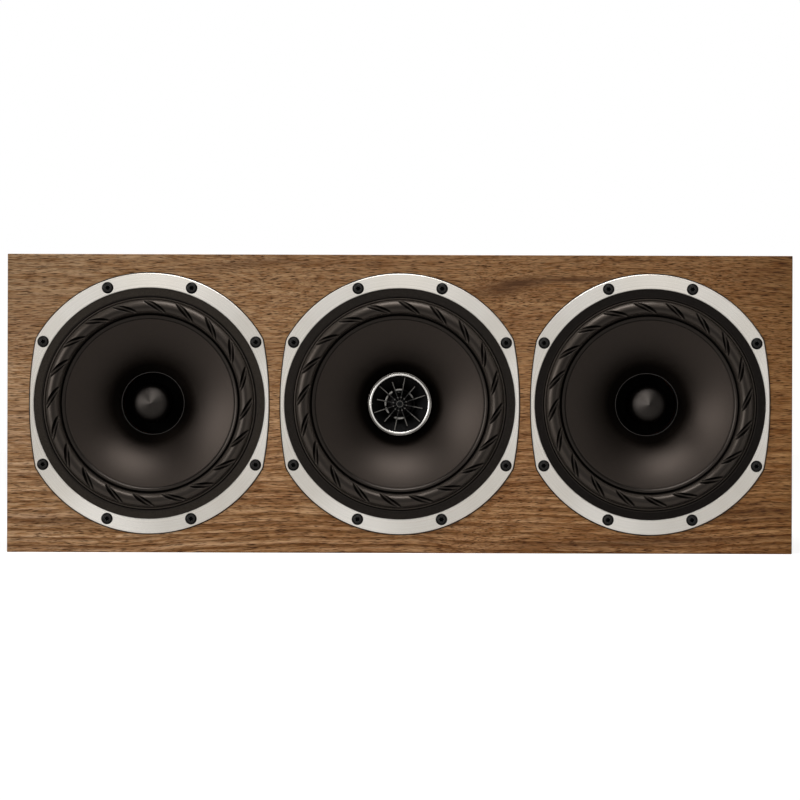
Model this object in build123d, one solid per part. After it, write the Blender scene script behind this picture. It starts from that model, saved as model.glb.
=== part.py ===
from build123d import *

import math
import os

# Centre channel loudspeaker: a wide veneered cabinet with three ten-inch drivers in a row.
# The middle driver carries a tweeter on its pole piece, the outer two carry a pointed phase plug.
# Millimetres, +Z up, +X to the listener's right, front towards -Y.
# The origin is the middle of the underside that the cabinet rests on.

# Cabinet
PANEL = 22.0
EDGE_ROUND = 0.8
CABINET_DEPTH = 305.0
RING_GAP = 11.2
END_MARGIN = 22.5
RIM_MARGIN = 18.7
BRACE_THICKNESS = 16.0
BRACE_BORDER = 42.0
BRACE_CORNER = 18.0

# Trim ring: a disc with two bowed sides, screwed down over the driver's flange
RING_DIAMETER = 261.6
RING_WIDTH = 239.8
RING_SIDE_RADIUS = 343.0
RING_CORNER = 14.0
RING_BORE_RADIUS = 115.6
RING_THICKNESS = 4.0
RING_PROUD = 1.5
RING_CHAMFER = 0.8
REBATE_CLEARANCE = 0.8
SCREW_CIRCLE_RADIUS = 123.0
SCREW_ANGLES = (30, 70, 110, 150, 210, 250, 290, 330)

# Button head screws with a six-lobe socket, and the brass inserts that they turn into
SCREW_RADIUS = 3.0
SCREW_LENGTH = 17.0
SCREW_HEAD_RADIUS = 5.5
SCREW_HEAD_HEIGHT = 3.0
SCREW_HEAD_FLAT_RADIUS = 4.3
SCREW_HEAD_RIM = 0.6
SCREW_HOLE_CLEARANCE = 0.3
SCREW_SEAT_DEPTH = 1.5
SCREW_SEAT_CLEARANCE = 0.35
SOCKET_CORE_RADIUS = 1.9
SOCKET_LOBE_RADIUS = 0.75
SOCKET_LOBES = 6
SOCKET_DEPTH = 2.0
INSERT_WALL = 1.5
INSERT_LENGTH = 14.0

# Basket: cast frame between the baffle and the motor
FLANGE_THICKNESS = 3.0
BASKET_BORE_CLEARANCE = 0.5
BASKET_RIM_WALL = 6.5
BASKET_RIM_DEPTH = 8.0
BASKET_FOOT_RADIUS = 79.0
BASKET_FOOT_BORE = 48.0
BASKET_WALL = 4.0
BASKET_SPOKES = 6
BASKET_SPOKE_WIDTH = 18.0
CUTOUT_CLEARANCE = 1.5
TERMINAL_ANGLE = -70.0
TAB_WIDTH = 16.0
TAB_DEPTH = 14.0
TAB_REACH = 6.0

# Gasket and surround: a rubber half roll with slanting grooves across it
GASKET_INNER_RADIUS = 108.3
GASKET_THICKNESS = 2.4
GASKET_FIT = 0.3
SURROUND_THICKNESS = 0.9
BEAD_WIDTH = 1.9
BEAD_HEIGHT = 1.3
BEAD_INSET = 0.5
ROLL_OUTER_RADIUS = 104.0
ROLL_INNER_RADIUS = 91.0
ROLL_DROP = 3.5
ROLL_FLATS = 8
SURROUND_LIP = 6.5
RIB_COUNT = 20
RIB_SLANT = 32.0
RIB_DEPTH = 2.6
RIB_FLOOR_WIDTH = 1.4
RIB_FLARE = 1.0
RIB_LENGTH = 44.0

# Cone: pulp, flaring from a steep neck to a shallow edge
CONE_THICKNESS = 0.9
CONE_EDGE_ANGLE = 22.0
CONE_NECK_ANGLE = 60.0
CONE_NECK_EXTRA = 5.0
CONE_RIM_MARGIN = 1.2
EXCURSION = 3.0

# Voice coil, spider and motor
COIL_BORE_RADIUS = 31.5
FORMER_WALL = 0.3
FORMER_LEAD = 1.6
WINDING_THICKNESS = 0.9
WINDING_LENGTH = 15.0
SPIDER_OUTER_RADIUS = 72.0
SPIDER_LAND = 8.0
SPIDER_COLLAR = 4.0
SPIDER_WAVES = 6
SPIDER_WAVE_HEIGHT = 1.6
SPIDER_THICKNESS = 0.6
SPIDER_SETBACK = 9.0
MOTOR_SETBACK = 27.0
PLATE_RADIUS = 75.0
PLATE_THICKNESS = 9.0
GAP_CLEARANCE = 0.7
MAGNET_RADIUS = 84.0
MAGNET_BORE_RADIUS = 45.0
MAGNET_THICKNESS = 20.0
POLE_CLEARANCE = 0.6
POLE_PROUD = 1.0
BACK_PLATE_RADIUS = 79.0
BACK_PLATE_THICKNESS = 10.0
VENT_RADIUS = 8.0
SPIGOT_LENGTH = 12.0
SPIGOT_CLEARANCE = 0.1

# Phase plug: a shallow cone on a straight stem
PLUG_RADIUS = 20.0
PLUG_TIP_DEPTH = 13.0
PLUG_NOSE_SLOPE = 34.0
PLUG_NOSE_RADIUS = 15.0
PLUG_SHOULDER = 12.0

# Tweeter on the middle driver's pole
BEZEL_OUTER_RADIUS = 32.1
BEZEL_INNER_RADIUS = 28.6
BEZEL_THICKNESS = 4.0
BEZEL_BEVEL = 1.1
BEZEL_GROOVE = 0.45
BEZEL_GROOVE_INSET = 0.6
BEZEL_CLEARANCE = 12.0
HOUSING_HEAD_RADIUS = 31.2
HOUSING_HEAD_HEIGHT = 6.0
HOUSING_STEM_RADIUS = 28.4
HORN_DEPTH = 10.0
THROAT_RADIUS = 17.0
THROAT_LIP = 3.0
DOME_RADIUS = 12.0
DOME_RISE = 4.0
DOME_ROLL_RISE = 1.3
DOME_THICKNESS = 0.5
TWEETER_MOTOR_RADIUS = 19.8
TWEETER_MOTOR_HEIGHT = 15.0
TWEETER_MOTOR_WELL = 4.0
TWEETER_FIT = 0.2
TWEETER_WIRE_RADIUS = 2.0
FIN_COUNT = 12
FIN_THICKNESS = 0.9
FIN_TURN = 19.0
SHORT_FIN_RADIUS = 23.5
FIN_HUB_RADIUS = 3.4
FIN_HUB_BORE = 1.3
FIN_HUB_BORE_DEPTH = 3.0
FIN_PIN_CIRCLE = 6.8
FIN_PIN_RADIUS = 0.75
FIN_PIN_HEIGHT = 0.8
FIN_RECESS = 1.2
FIN_DOME_GAP = 1.0

# Rear terminals: moulded plate with a pair of binding posts at banana plug spacing
TERMINAL_WIDTH = 110.0
TERMINAL_HEIGHT = 70.0
TERMINAL_THICKNESS = 4.0
TERMINAL_CORNER = 8.0
TERMINAL_LAND = 14.0
TERMINAL_CENTER_HEIGHT = 75.0
TERMINAL_SCREW_INSET = 7.0
TERMINAL_SCREW_RADIUS = 1.75
TERMINAL_SCREW_LENGTH = 16.0
TERMINAL_SCREW_HEAD_RADIUS = 3.6
TERMINAL_SCREW_HEAD_HEIGHT = 2.4
TERMINAL_SCREW_CLEARANCE = 0.3
POST_SPACING = 19.05
POST_RADIUS = 3.0
POST_INNER_LENGTH = 12.0
POST_FLANGE_RADIUS = 6.5
POST_FLANGE_THICKNESS = 2.5
BANANA_RADIUS = 2.0
BANANA_DEPTH = 14.0
WASHER_THICKNESS = 1.2
WASHER_CLEARANCE = 0.15
NUT_RADIUS = 7.5
NUT_LENGTH = 14.0
NUT_CLEARANCE = 0.05
NUT_FLUTES = 18
NUT_FLUTE_RADIUS = 0.8
NUT_CHAMFER = 1.0

# Crossover on the inside of the rear panel
BOARD_WIDTH = 150.0
BOARD_HEIGHT = 86.0
BOARD_THICKNESS = 6.0
BOARD_LIFT = 30.0
CAPACITOR_RADIUS = 14.0
CAPACITOR_LENGTH = 46.0
INDUCTOR_RADIUS = 27.0
INDUCTOR_BORE = 13.0
INDUCTOR_HEIGHT = 22.0
RESISTOR_LENGTH = 46.0
RESISTOR_SIDE = 10.0
COMPONENT_GAP = 10.0

# Internal wiring
WIRE_RADIUS = 2.2
WIRE_BEND = 12.0
WIRE_INSET = 12.0
WIRE_LANE = 14.0
WIRE_RISE = 22.0
WIRE_NOTCH_CLEARANCE = 4.0

# Worked out: cabinet
DRIVER_SPACING = RING_WIDTH + RING_GAP
CABINET_WIDTH = 3 * RING_WIDTH + 2 * RING_GAP + 2 * END_MARGIN
CABINET_HEIGHT = RING_DIAMETER + 2 * RIM_MARGIN
DRIVER_HEIGHT = CABINET_HEIGHT / 2
DRIVER_X = {"left": -DRIVER_SPACING, "center": 0.0, "right": DRIVER_SPACING}
SURROUND_TURN = {"left": 14.6, "center": 12.4, "right": 3.0}
FRONT_Y = -CABINET_DEPTH / 2
BACK_Y = CABINET_DEPTH / 2
INNER_BACK_Y = BACK_Y - PANEL
INNER_DEPTH = CABINET_DEPTH - 2 * PANEL
INNER_HEIGHT = CABINET_HEIGHT - 2 * PANEL

# Worked out: heights along a driver's axis, from the baffle's face, positive to the front
RING_BACK = RING_PROUD - RING_THICKNESS
REBATE_FLOOR = RING_BACK - FLANGE_THICKNESS
LIP_FRONT = RING_BACK + SURROUND_THICKNESS
ROLL_RADIUS = (ROLL_OUTER_RADIUS - ROLL_INNER_RADIUS) / 2
ROLL_CENTER_RADIUS = (ROLL_OUTER_RADIUS + ROLL_INNER_RADIUS) / 2
ROLL_CREST = LIP_FRONT + ROLL_RADIUS
INNER_LIP_FRONT = LIP_FRONT - ROLL_DROP
CONE_RIM_FRONT = INNER_LIP_FRONT - SURROUND_THICKNESS
CONE_EDGE_RADIUS = ROLL_INNER_RADIUS - SURROUND_LIP
FORMER_RADIUS = COIL_BORE_RADIUS + FORMER_WALL
WINDING_RADIUS = FORMER_RADIUS + WINDING_THICKNESS
CONE_EDGE_SINE = math.sin(math.radians(CONE_EDGE_ANGLE))
CONE_EDGE_COSINE = math.cos(math.radians(CONE_EDGE_ANGLE))
CONE_NECK_SINE = math.sin(math.radians(CONE_NECK_ANGLE))
CONE_NECK_COSINE = math.cos(math.radians(CONE_NECK_ANGLE))
CONE_ARC = (CONE_EDGE_RADIUS - FORMER_RADIUS) / (CONE_NECK_SINE - CONE_EDGE_SINE)
CONE_ARC_RADIUS = FORMER_RADIUS + CONE_ARC * CONE_NECK_SINE
CONE_ARC_HEIGHT = CONE_RIM_FRONT - CONE_ARC * CONE_EDGE_COSINE
NECK_FRONT = CONE_ARC_HEIGHT + CONE_ARC * CONE_NECK_COSINE
FORMER_FRONT = NECK_FRONT + FORMER_LEAD
SPIDER_HEIGHT = NECK_FRONT - SPIDER_SETBACK
PLATE_FRONT = NECK_FRONT - MOTOR_SETBACK
PLATE_BACK = PLATE_FRONT - PLATE_THICKNESS
MAGNET_BACK = PLATE_BACK - MAGNET_THICKNESS
YOKE_BACK = MAGNET_BACK - BACK_PLATE_THICKNESS
POLE_FRONT = PLATE_FRONT + POLE_PROUD
POLE_RADIUS = COIL_BORE_RADIUS - POLE_CLEARANCE
WINDING_MIDDLE = PLATE_FRONT - PLATE_THICKNESS / 2
WINDING_BACK = WINDING_MIDDLE - WINDING_LENGTH / 2
BASKET_BORE = ROLL_OUTER_RADIUS + BASKET_BORE_CLEARANCE
BASKET_RIM_RADIUS = BASKET_BORE + BASKET_RIM_WALL
CUTOUT_RADIUS = BASKET_RIM_RADIUS + CUTOUT_CLEARANCE
SPIDER_LEDGE = SPIDER_HEIGHT - SPIDER_THICKNESS
TAB_BACK = (REBATE_FLOOR + PLATE_FRONT) / 2 - TAB_DEPTH / 2
INSERT_RADIUS = SCREW_RADIUS + INSERT_WALL

# Worked out: tweeter
BEZEL_BACK = FORMER_FRONT + EXCURSION + BEZEL_CLEARANCE
BEZEL_FRONT = BEZEL_BACK + BEZEL_THICKNESS
HOUSING_SHOULDER = BEZEL_BACK - HOUSING_HEAD_HEIGHT
THROAT_FRONT = BEZEL_BACK - HORN_DEPTH
DOME_FRONT = THROAT_FRONT - THROAT_LIP
TWEETER_MOTOR_FRONT = DOME_FRONT - DOME_THICKNESS
TWEETER_MOTOR_BACK = TWEETER_MOTOR_FRONT - TWEETER_MOTOR_HEIGHT

# Worked out: rear terminals, crossover and wiring
PLATE_FACE_Y = BACK_Y + TERMINAL_THICKNESS
POST_FACE_Y = PLATE_FACE_Y + POST_FLANGE_THICKNESS
WASHER_FACE_Y = POST_FACE_Y + WASHER_THICKNESS
POST_END_Y = WASHER_FACE_Y + NUT_LENGTH
POST_INNER_Y = BACK_Y - POST_INNER_LENGTH
POST_X = {"red": -POST_SPACING / 2, "black": POST_SPACING / 2}
BOARD_BOTTOM = TERMINAL_CENTER_HEIGHT + TERMINAL_HEIGHT / 2 + BOARD_LIFT
BOARD_FACE_Y = INNER_BACK_Y - BOARD_THICKNESS
WIRE_LEVEL = BOARD_BOTTOM + WIRE_INSET
WIRE_FLOOR = PANEL + WIRE_RADIUS
WIRE_LANE_Y = BOARD_FACE_Y - WIRE_LANE - WIRE_BEND

FORWARD = (Align.CENTER, Align.CENTER, Align.MIN)
BACKWARD = (Align.CENTER, Align.CENTER, Align.MAX)


def turned(*outline):
    """A solid turned about the local Z axis from the edges of a closed outline in radius and height."""
    edges = [edge for piece in outline for edge in piece.edges()]
    return revolve(Plane.XZ * make_face(edges), Axis.Z)


def lathe(*points):
    """A turned solid whose outline is straight from point to point."""
    return turned(Polyline(*points, close=True))


def tube(inner, outer, back, front):
    """A ring, or with no inner radius a disc, about the local Z axis between two heights."""
    section = Circle(outer) - Circle(inner) if inner else Circle(outer)
    return Pos(0, 0, back) * extrude(section, front - back)


def on_driver(shape, side):
    """Sets a shape built along +Z, with the baffle's face at height 0, into one driver's place."""
    return Pos(DRIVER_X[side], FRONT_Y, DRIVER_HEIGHT) * Rot(90, 0, 0) * shape


def on_rear(shape, x, y, z):
    """Sets a shape built along +Z so that it points out of the cabinet's back."""
    return Pos(x, y, z) * Rot(-90, 0, 0) * shape


def around(radius, angles):
    """Places on a circle about the local Z axis."""
    return [Pos(radius * math.cos(math.radians(a)), radius * math.sin(math.radians(a)), 0) for a in angles]


def every(count, turn=0.0):
    """Equal angles about an axis."""
    return [turn + k * 360 / count for k in range(count)]


# Cabinet panels: six boards mitred to each other on every edge

def mitred_board(width, height):
    """A board with its outer face on the XY plane and 45 degree mitres towards -Z."""
    outer = Rectangle(width, height)
    inner = Pos(0, 0, -PANEL) * Rectangle(width - 2 * PANEL, height - 2 * PANEL)
    return loft([outer, inner])


def softened(board):
    """Rounds the board's share of the closed cabinet's outer edges."""
    whole = Pos(0, 0, DRIVER_HEIGHT) * Box(CABINET_WIDTH, CABINET_DEPTH, CABINET_HEIGHT)
    return board & fillet(whole.edges(), EDGE_ROUND)


def ring_outline(grow=0.0):
    """The trim ring's outer shape: a disc bounded on two sides by wide arcs."""
    side = Circle(RING_SIDE_RADIUS + grow)
    reach = RING_WIDTH / 2 - RING_SIDE_RADIUS
    shape = Circle(RING_DIAMETER / 2 + grow) & Pos(reach, 0) * side & Pos(-reach, 0) * side
    return fillet(shape.vertices(), RING_CORNER + grow)


def front_baffle():
    board = Pos(0, FRONT_Y, DRIVER_HEIGHT) * Rot(90, 0, 0) * mitred_board(CABINET_WIDTH, CABINET_HEIGHT)
    rebate = Pos(0, 0, REBATE_FLOOR) * extrude(ring_outline(REBATE_CLEARANCE), PANEL)
    opening = Cylinder(CUTOUT_RADIUS, 4 * PANEL)
    hole = Pos(0, 0, REBATE_FLOOR) * Cylinder(INSERT_RADIUS, INSERT_LENGTH, align=BACKWARD)
    holes = [place * hole for place in around(SCREW_CIRCLE_RADIUS, SCREW_ANGLES)]
    for side in DRIVER_X:
        board -= [on_driver(cutter, side) for cutter in (rebate, opening, *holes)]
    return softened(board)


def rear_panel():
    board = Pos(0, BACK_Y, DRIVER_HEIGHT) * Rot(-90, 0, 0) * mitred_board(CABINET_WIDTH, CABINET_HEIGHT)
    window = RectangleRounded(
        TERMINAL_WIDTH - 2 * TERMINAL_LAND, TERMINAL_HEIGHT - 2 * TERMINAL_LAND, TERMINAL_CORNER
    )
    cutters = [on_rear(extrude(window, PANEL, both=True), 0, BACK_Y, TERMINAL_CENTER_HEIGHT)]
    pilot = Cylinder(TERMINAL_SCREW_RADIUS, TERMINAL_SCREW_LENGTH - TERMINAL_THICKNESS, align=BACKWARD)
    cutters += [on_rear(pilot, x, BACK_Y, z) for x, z in terminal_screw_places()]
    return softened(board - cutters)


def top_panel():
    return softened(Pos(0, 0, CABINET_HEIGHT) * mitred_board(CABINET_WIDTH, CABINET_DEPTH))


def bottom_panel():
    return softened(Rot(180, 0, 0) * mitred_board(CABINET_WIDTH, CABINET_DEPTH))


def side_panel(sign):
    board = Rot(0, 90 * sign, 0) * mitred_board(CABINET_HEIGHT, CABINET_DEPTH)
    return softened(Pos(sign * CABINET_WIDTH / 2, 0, DRIVER_HEIGHT) * board)


def brace(sign):
    """A window frame across the cabinet midway between two drivers, notched for the wiring."""
    window = RectangleRounded(INNER_DEPTH - 2 * BRACE_BORDER, INNER_HEIGHT - 2 * BRACE_BORDER, BRACE_CORNER)
    frame = extrude(Rectangle(INNER_DEPTH, INNER_HEIGHT) - window, BRACE_THICKNESS / 2, both=True)
    frame = Pos(sign * DRIVER_SPACING / 2, 0, DRIVER_HEIGHT) * (Plane.YZ * frame)
    room = 2 * WIRE_RADIUS + WIRE_NOTCH_CLEARANCE
    notch = Box(2 * BRACE_THICKNESS, room, 2 * room)
    return frame - Pos(sign * DRIVER_SPACING / 2, WIRE_LANE_Y, PANEL) * notch


# Driver: flange, ring and fastenings

def trim_ring():
    plate = extrude(ring_outline() - Circle(RING_BORE_RADIUS), RING_THICKNESS)
    plate = Pos(0, 0, RING_BACK) * chamfer(plate.faces().sort_by(Axis.Z)[-1].edges(), RING_CHAMFER)
    hole = Cylinder(SCREW_RADIUS + SCREW_HOLE_CLEARANCE, 4 * RING_THICKNESS)
    seat = Pos(0, 0, RING_PROUD - SCREW_SEAT_DEPTH) * Cylinder(
        SCREW_HEAD_RADIUS + SCREW_SEAT_CLEARANCE, RING_THICKNESS, align=FORWARD
    )
    places = around(SCREW_CIRCLE_RADIUS, SCREW_ANGLES)
    return plate - [place * cutter for place in places for cutter in (hole, seat)]


def driver_screw():
    """One screw with its seat at height 0."""
    body = lathe(
        (0, -SCREW_LENGTH),
        (SCREW_RADIUS, -SCREW_LENGTH),
        (SCREW_RADIUS, 0),
        (SCREW_HEAD_RADIUS, 0),
        (SCREW_HEAD_RADIUS, SCREW_HEAD_RIM),
        (SCREW_HEAD_FLAT_RADIUS, SCREW_HEAD_HEIGHT),
        (0, SCREW_HEAD_HEIGHT),
    )
    lobe = Circle(SOCKET_LOBE_RADIUS)
    places = around(SOCKET_CORE_RADIUS, every(SOCKET_LOBES))
    section = Circle(SOCKET_CORE_RADIUS) + [place * lobe for place in places]
    return body - Pos(0, 0, SCREW_HEAD_HEIGHT - SOCKET_DEPTH) * extrude(section, SOCKET_DEPTH)


def driver_screws():
    screw = Pos(0, 0, RING_PROUD - SCREW_SEAT_DEPTH) * driver_screw()
    return [
        on_driver(place * screw, side)
        for side in DRIVER_X
        for place in around(SCREW_CIRCLE_RADIUS, SCREW_ANGLES)
    ]


def threaded_inserts():
    insert = tube(SCREW_RADIUS, INSERT_RADIUS, REBATE_FLOOR - INSERT_LENGTH, REBATE_FLOOR)
    return [
        on_driver(place * insert, side)
        for side in DRIVER_X
        for place in around(SCREW_CIRCLE_RADIUS, SCREW_ANGLES)
    ]


def gasket():
    back = LIP_FRONT
    return tube(GASKET_INNER_RADIUS, RING_BORE_RADIUS - GASKET_FIT, back, back + GASKET_THICKNESS)


def basket():
    """Flange, tapering spokes, a ledge for the spider and a foot that the motor is fixed to."""
    flange = Pos(0, 0, REBATE_FLOOR) * extrude(ring_outline() - Circle(BASKET_BORE), FLANGE_THICKNESS)
    hole = Cylinder(SCREW_RADIUS + SCREW_HOLE_CLEARANCE, 6 * FLANGE_THICKNESS)
    flange -= [place * hole for place in around(SCREW_CIRCLE_RADIUS, SCREW_ANGLES)]
    rim_back = REBATE_FLOOR - BASKET_RIM_DEPTH
    ledge_inner = SPIDER_OUTER_RADIUS - SPIDER_LAND
    foot_front = PLATE_FRONT + BASKET_WALL
    outside = lathe(
        (0, REBATE_FLOOR),
        (BASKET_RIM_RADIUS, REBATE_FLOOR),
        (BASKET_RIM_RADIUS, rim_back),
        (BASKET_FOOT_RADIUS, foot_front),
        (BASKET_FOOT_RADIUS, PLATE_FRONT),
        (0, PLATE_FRONT),
    )
    inside = lathe(
        (0, REBATE_FLOOR),
        (BASKET_BORE, REBATE_FLOOR),
        (BASKET_BORE, rim_back),
        (SPIDER_OUTER_RADIUS, SPIDER_LEDGE),
        (ledge_inner, SPIDER_LEDGE),
        (ledge_inner, foot_front),
        (BASKET_FOOT_BORE, foot_front),
        (BASKET_FOOT_BORE, PLATE_FRONT),
        (0, PLATE_FRONT),
    )
    window_back = SPIDER_LEDGE + BASKET_WALL
    windows = tube(ledge_inner, 2 * BASKET_RIM_RADIUS, window_back, rim_back - BASKET_WALL)
    outward = (Align.MIN, Align.CENTER, Align.CENTER)
    spoke = Box(2 * BASKET_RIM_RADIUS, BASKET_SPOKE_WIDTH, 4 * abs(PLATE_FRONT), align=outward)
    windows -= [Rot(0, 0, angle) * spoke for angle in every(BASKET_SPOKES, TERMINAL_ANGLE)]
    return flange + (outside - inside - windows) + (terminal_tab() - inside)


def spoke_radius(height):
    """Outer radius of the basket's tapering spokes at a height along the axis."""
    front, back = REBATE_FLOOR - BASKET_RIM_DEPTH, PLATE_FRONT + BASKET_WALL
    share = (front - height) / (front - back)
    return BASKET_RIM_RADIUS + share * (BASKET_FOOT_RADIUS - BASKET_RIM_RADIUS)


def terminal_tab():
    """The block on one spoke that the wire is soldered to."""
    radius = spoke_radius(TAB_BACK)
    block = Box(2 * TAB_REACH, TAB_WIDTH, TAB_DEPTH, align=FORWARD)
    return Rot(0, 0, TERMINAL_ANGLE) * Pos(radius, 0, TAB_BACK) * block


# Driver: moving parts and their suspension

def rib_cutters(spread, sink):
    """Slanting grooves across the roll, widened by spread and deepened by sink."""
    floor = ROLL_CREST - RIB_DEPTH - sink
    half = RIB_FLOOR_WIDTH / 2 + spread
    rise = RIB_DEPTH + sink + ROLL_RADIUS
    mouth = half + RIB_FLARE * rise
    section = Polygon((-half, 0), (half, 0), (mouth, rise), (-mouth, rise), align=None)
    groove = extrude(Plane.YZ * section, RIB_LENGTH / 2, both=True)
    groove = Pos(ROLL_CENTER_RADIUS, 0, floor) * Rot(0, 0, 90 - RIB_SLANT) * groove
    return [Rot(0, 0, angle) * groove for angle in every(RIB_COUNT)]


def roll_section(radius):
    """Points round the half roll, from its outer foot over the crest to its inner foot."""
    turns = [math.pi * k / ROLL_FLATS for k in range(ROLL_FLATS + 1)]
    return [(ROLL_CENTER_RADIUS + radius * math.cos(t), LIP_FRONT + radius * math.sin(t)) for t in turns]


def surround():
    """Rubber half roll between the basket and the cone, with a locating bead and pressed-in grooves."""
    skin = SURROUND_THICKNESS
    lip_radius = RING_BORE_RADIUS - GASKET_FIT
    bead_inner = ROLL_OUTER_RADIUS + BEAD_INSET
    body = lathe(
        *roll_section(ROLL_RADIUS),
        (ROLL_INNER_RADIUS, INNER_LIP_FRONT),
        (CONE_EDGE_RADIUS, INNER_LIP_FRONT),
        (CONE_EDGE_RADIUS, CONE_RIM_FRONT),
        (ROLL_OUTER_RADIUS - skin, CONE_RIM_FRONT),
        (ROLL_OUTER_RADIUS - skin, RING_BACK),
        (lip_radius, RING_BACK),
        (lip_radius, LIP_FRONT),
        (bead_inner + BEAD_WIDTH, LIP_FRONT),
        (bead_inner + BEAD_WIDTH, LIP_FRONT + BEAD_HEIGHT),
        (bead_inner, LIP_FRONT + BEAD_HEIGHT),
        (bead_inner, LIP_FRONT),
    )
    hollow = lathe(
        *roll_section(ROLL_RADIUS - skin),
        (ROLL_INNER_RADIUS + skin, CONE_RIM_FRONT),
        (ROLL_OUTER_RADIUS - skin, CONE_RIM_FRONT),
    )
    return (body - rib_cutters(0, 0)) - (hollow - rib_cutters(skin, skin))


def cone_arc(radius, steepest):
    """The cone's profile on one face, from its edge in to its steepest stretch, about a centre behind it."""
    centre = (CONE_ARC_RADIUS, CONE_ARC_HEIGHT)
    return CenterArc(centre, radius, 90 + CONE_EDGE_ANGLE, steepest - CONE_EDGE_ANGLE)


def cone():
    """Flared pulp cone with a flat rim under the surround's lip, bored to fit the coil former."""
    steepest = CONE_NECK_ANGLE + CONE_NECK_EXTRA
    front = cone_arc(CONE_ARC, steepest)
    back = cone_arc(CONE_ARC - CONE_THICKNESS, steepest)
    rim_radius = ROLL_INNER_RADIUS - CONE_RIM_MARGIN
    rim_back = back.position_at(0).Y
    outline = Polyline(
        front.position_at(0),
        (rim_radius, CONE_RIM_FRONT),
        (rim_radius, rim_back),
        back.position_at(0),
    )
    shape = turned(front, outline, back, Line(front.position_at(1), back.position_at(1)))
    bore = Cylinder(FORMER_RADIUS, 4 * abs(NECK_FRONT))
    return shape - bore


def voice_coil():
    """Thin former with the winding on its rear end."""
    former = tube(COIL_BORE_RADIUS, FORMER_RADIUS, WINDING_BACK, FORMER_FRONT)
    winding = tube(COIL_BORE_RADIUS, WINDING_RADIUS, WINDING_BACK, WINDING_BACK + WINDING_LENGTH)
    return former + winding


def spider():
    """Corrugated cloth disc that centres the coil, glued to the former and to the basket's ledge."""
    inner = FORMER_RADIUS + SPIDER_COLLAR
    outer = SPIDER_OUTER_RADIUS - SPIDER_LAND
    pitch = (outer - inner) / SPIDER_WAVES
    folds = [(inner, 0)]
    for wave in range(SPIDER_WAVES):
        folds.append((inner + (wave + 0.5) * pitch, SPIDER_WAVE_HEIGHT * (-1) ** wave))
    folds = [(FORMER_RADIUS, 0), *folds, (outer, 0), (SPIDER_OUTER_RADIUS, 0)]
    front = [(radius, SPIDER_HEIGHT + rise) for radius, rise in folds]
    back = [(radius, SPIDER_LEDGE + rise) for radius, rise in reversed(folds)]
    return lathe(*front, *back)


# Driver: motor

def front_plate():
    return tube(WINDING_RADIUS + GAP_CLEARANCE, PLATE_RADIUS, PLATE_BACK, PLATE_FRONT)


def magnet():
    return tube(MAGNET_BORE_RADIUS, MAGNET_RADIUS, MAGNET_BACK, PLATE_BACK)


def pole_yoke():
    """Back plate and pole piece in one forging, with a vent through the middle."""
    return lathe(
        (VENT_RADIUS, YOKE_BACK),
        (BACK_PLATE_RADIUS, YOKE_BACK),
        (BACK_PLATE_RADIUS, MAGNET_BACK),
        (POLE_RADIUS, MAGNET_BACK),
        (POLE_RADIUS, POLE_FRONT),
        (VENT_RADIUS, POLE_FRONT),
    )


def phase_plug():
    """Pointed plug on the pole, so that the cone moves round it."""
    tip = -PLUG_TIP_DEPTH
    nose = tip - PLUG_NOSE_RADIUS * math.tan(math.radians(PLUG_NOSE_SLOPE))
    shoulder = nose - PLUG_SHOULDER
    spigot = VENT_RADIUS - SPIGOT_CLEARANCE
    bend = TangentArc(
        (PLUG_RADIUS, shoulder), (PLUG_NOSE_RADIUS, nose), tangent=(0, 1)
    )
    rest = Polyline(
        (PLUG_NOSE_RADIUS, nose),
        (0, tip),
        (0, POLE_FRONT - SPIGOT_LENGTH),
        (spigot, POLE_FRONT - SPIGOT_LENGTH),
        (spigot, POLE_FRONT),
        (PLUG_RADIUS, POLE_FRONT),
        (PLUG_RADIUS, shoulder),
    )
    return turned(bend, rest)


# Tweeter

def tweeter_bezel():
    """Polished ring round the horn's mouth, bevelled inside and grooved near its rim."""
    groove_outer = BEZEL_OUTER_RADIUS - BEZEL_GROOVE_INSET
    groove_inner = groove_outer - BEZEL_GROOVE
    return lathe(
        (BEZEL_INNER_RADIUS, BEZEL_BACK),
        (BEZEL_OUTER_RADIUS, BEZEL_BACK),
        (BEZEL_OUTER_RADIUS, BEZEL_FRONT - BEZEL_GROOVE),
        (groove_outer, BEZEL_FRONT),
        (groove_outer, BEZEL_FRONT - BEZEL_GROOVE),
        (groove_inner, BEZEL_FRONT - BEZEL_GROOVE),
        (groove_inner, BEZEL_FRONT),
        (BEZEL_INNER_RADIUS + BEZEL_BEVEL, BEZEL_FRONT),
        (BEZEL_INNER_RADIUS, BEZEL_FRONT - BEZEL_BEVEL),
    )


def horn_space():
    """The air in the horn, from its throat to the bezel."""
    return lathe(
        (0, THROAT_FRONT),
        (THROAT_RADIUS, THROAT_FRONT),
        (BEZEL_INNER_RADIUS, BEZEL_BACK),
        (0, BEZEL_BACK),
    )


def tweeter_housing():
    """Moulded horn and stem that stands on the pole and holds the tweeter's motor."""
    body = lathe(
        (0, POLE_FRONT),
        (HOUSING_STEM_RADIUS, POLE_FRONT),
        (HOUSING_STEM_RADIUS, HOUSING_SHOULDER),
        (HOUSING_HEAD_RADIUS, HOUSING_SHOULDER),
        (HOUSING_HEAD_RADIUS, BEZEL_BACK),
        (0, BEZEL_BACK),
    )
    body += Pos(0, 0, POLE_FRONT) * Cylinder(VENT_RADIUS - SPIGOT_CLEARANCE, SPIGOT_LENGTH, align=BACKWARD)
    cavity = tube(0, TWEETER_MOTOR_RADIUS + TWEETER_FIT, TWEETER_MOTOR_BACK, DOME_FRONT)
    throat = tube(0, THROAT_RADIUS, DOME_FRONT, THROAT_FRONT)
    wire_way = tube(0, TWEETER_WIRE_RADIUS, POLE_FRONT - SPIGOT_LENGTH, TWEETER_MOTOR_BACK)
    return body - [horn_space(), cavity, throat, wire_way]


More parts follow.
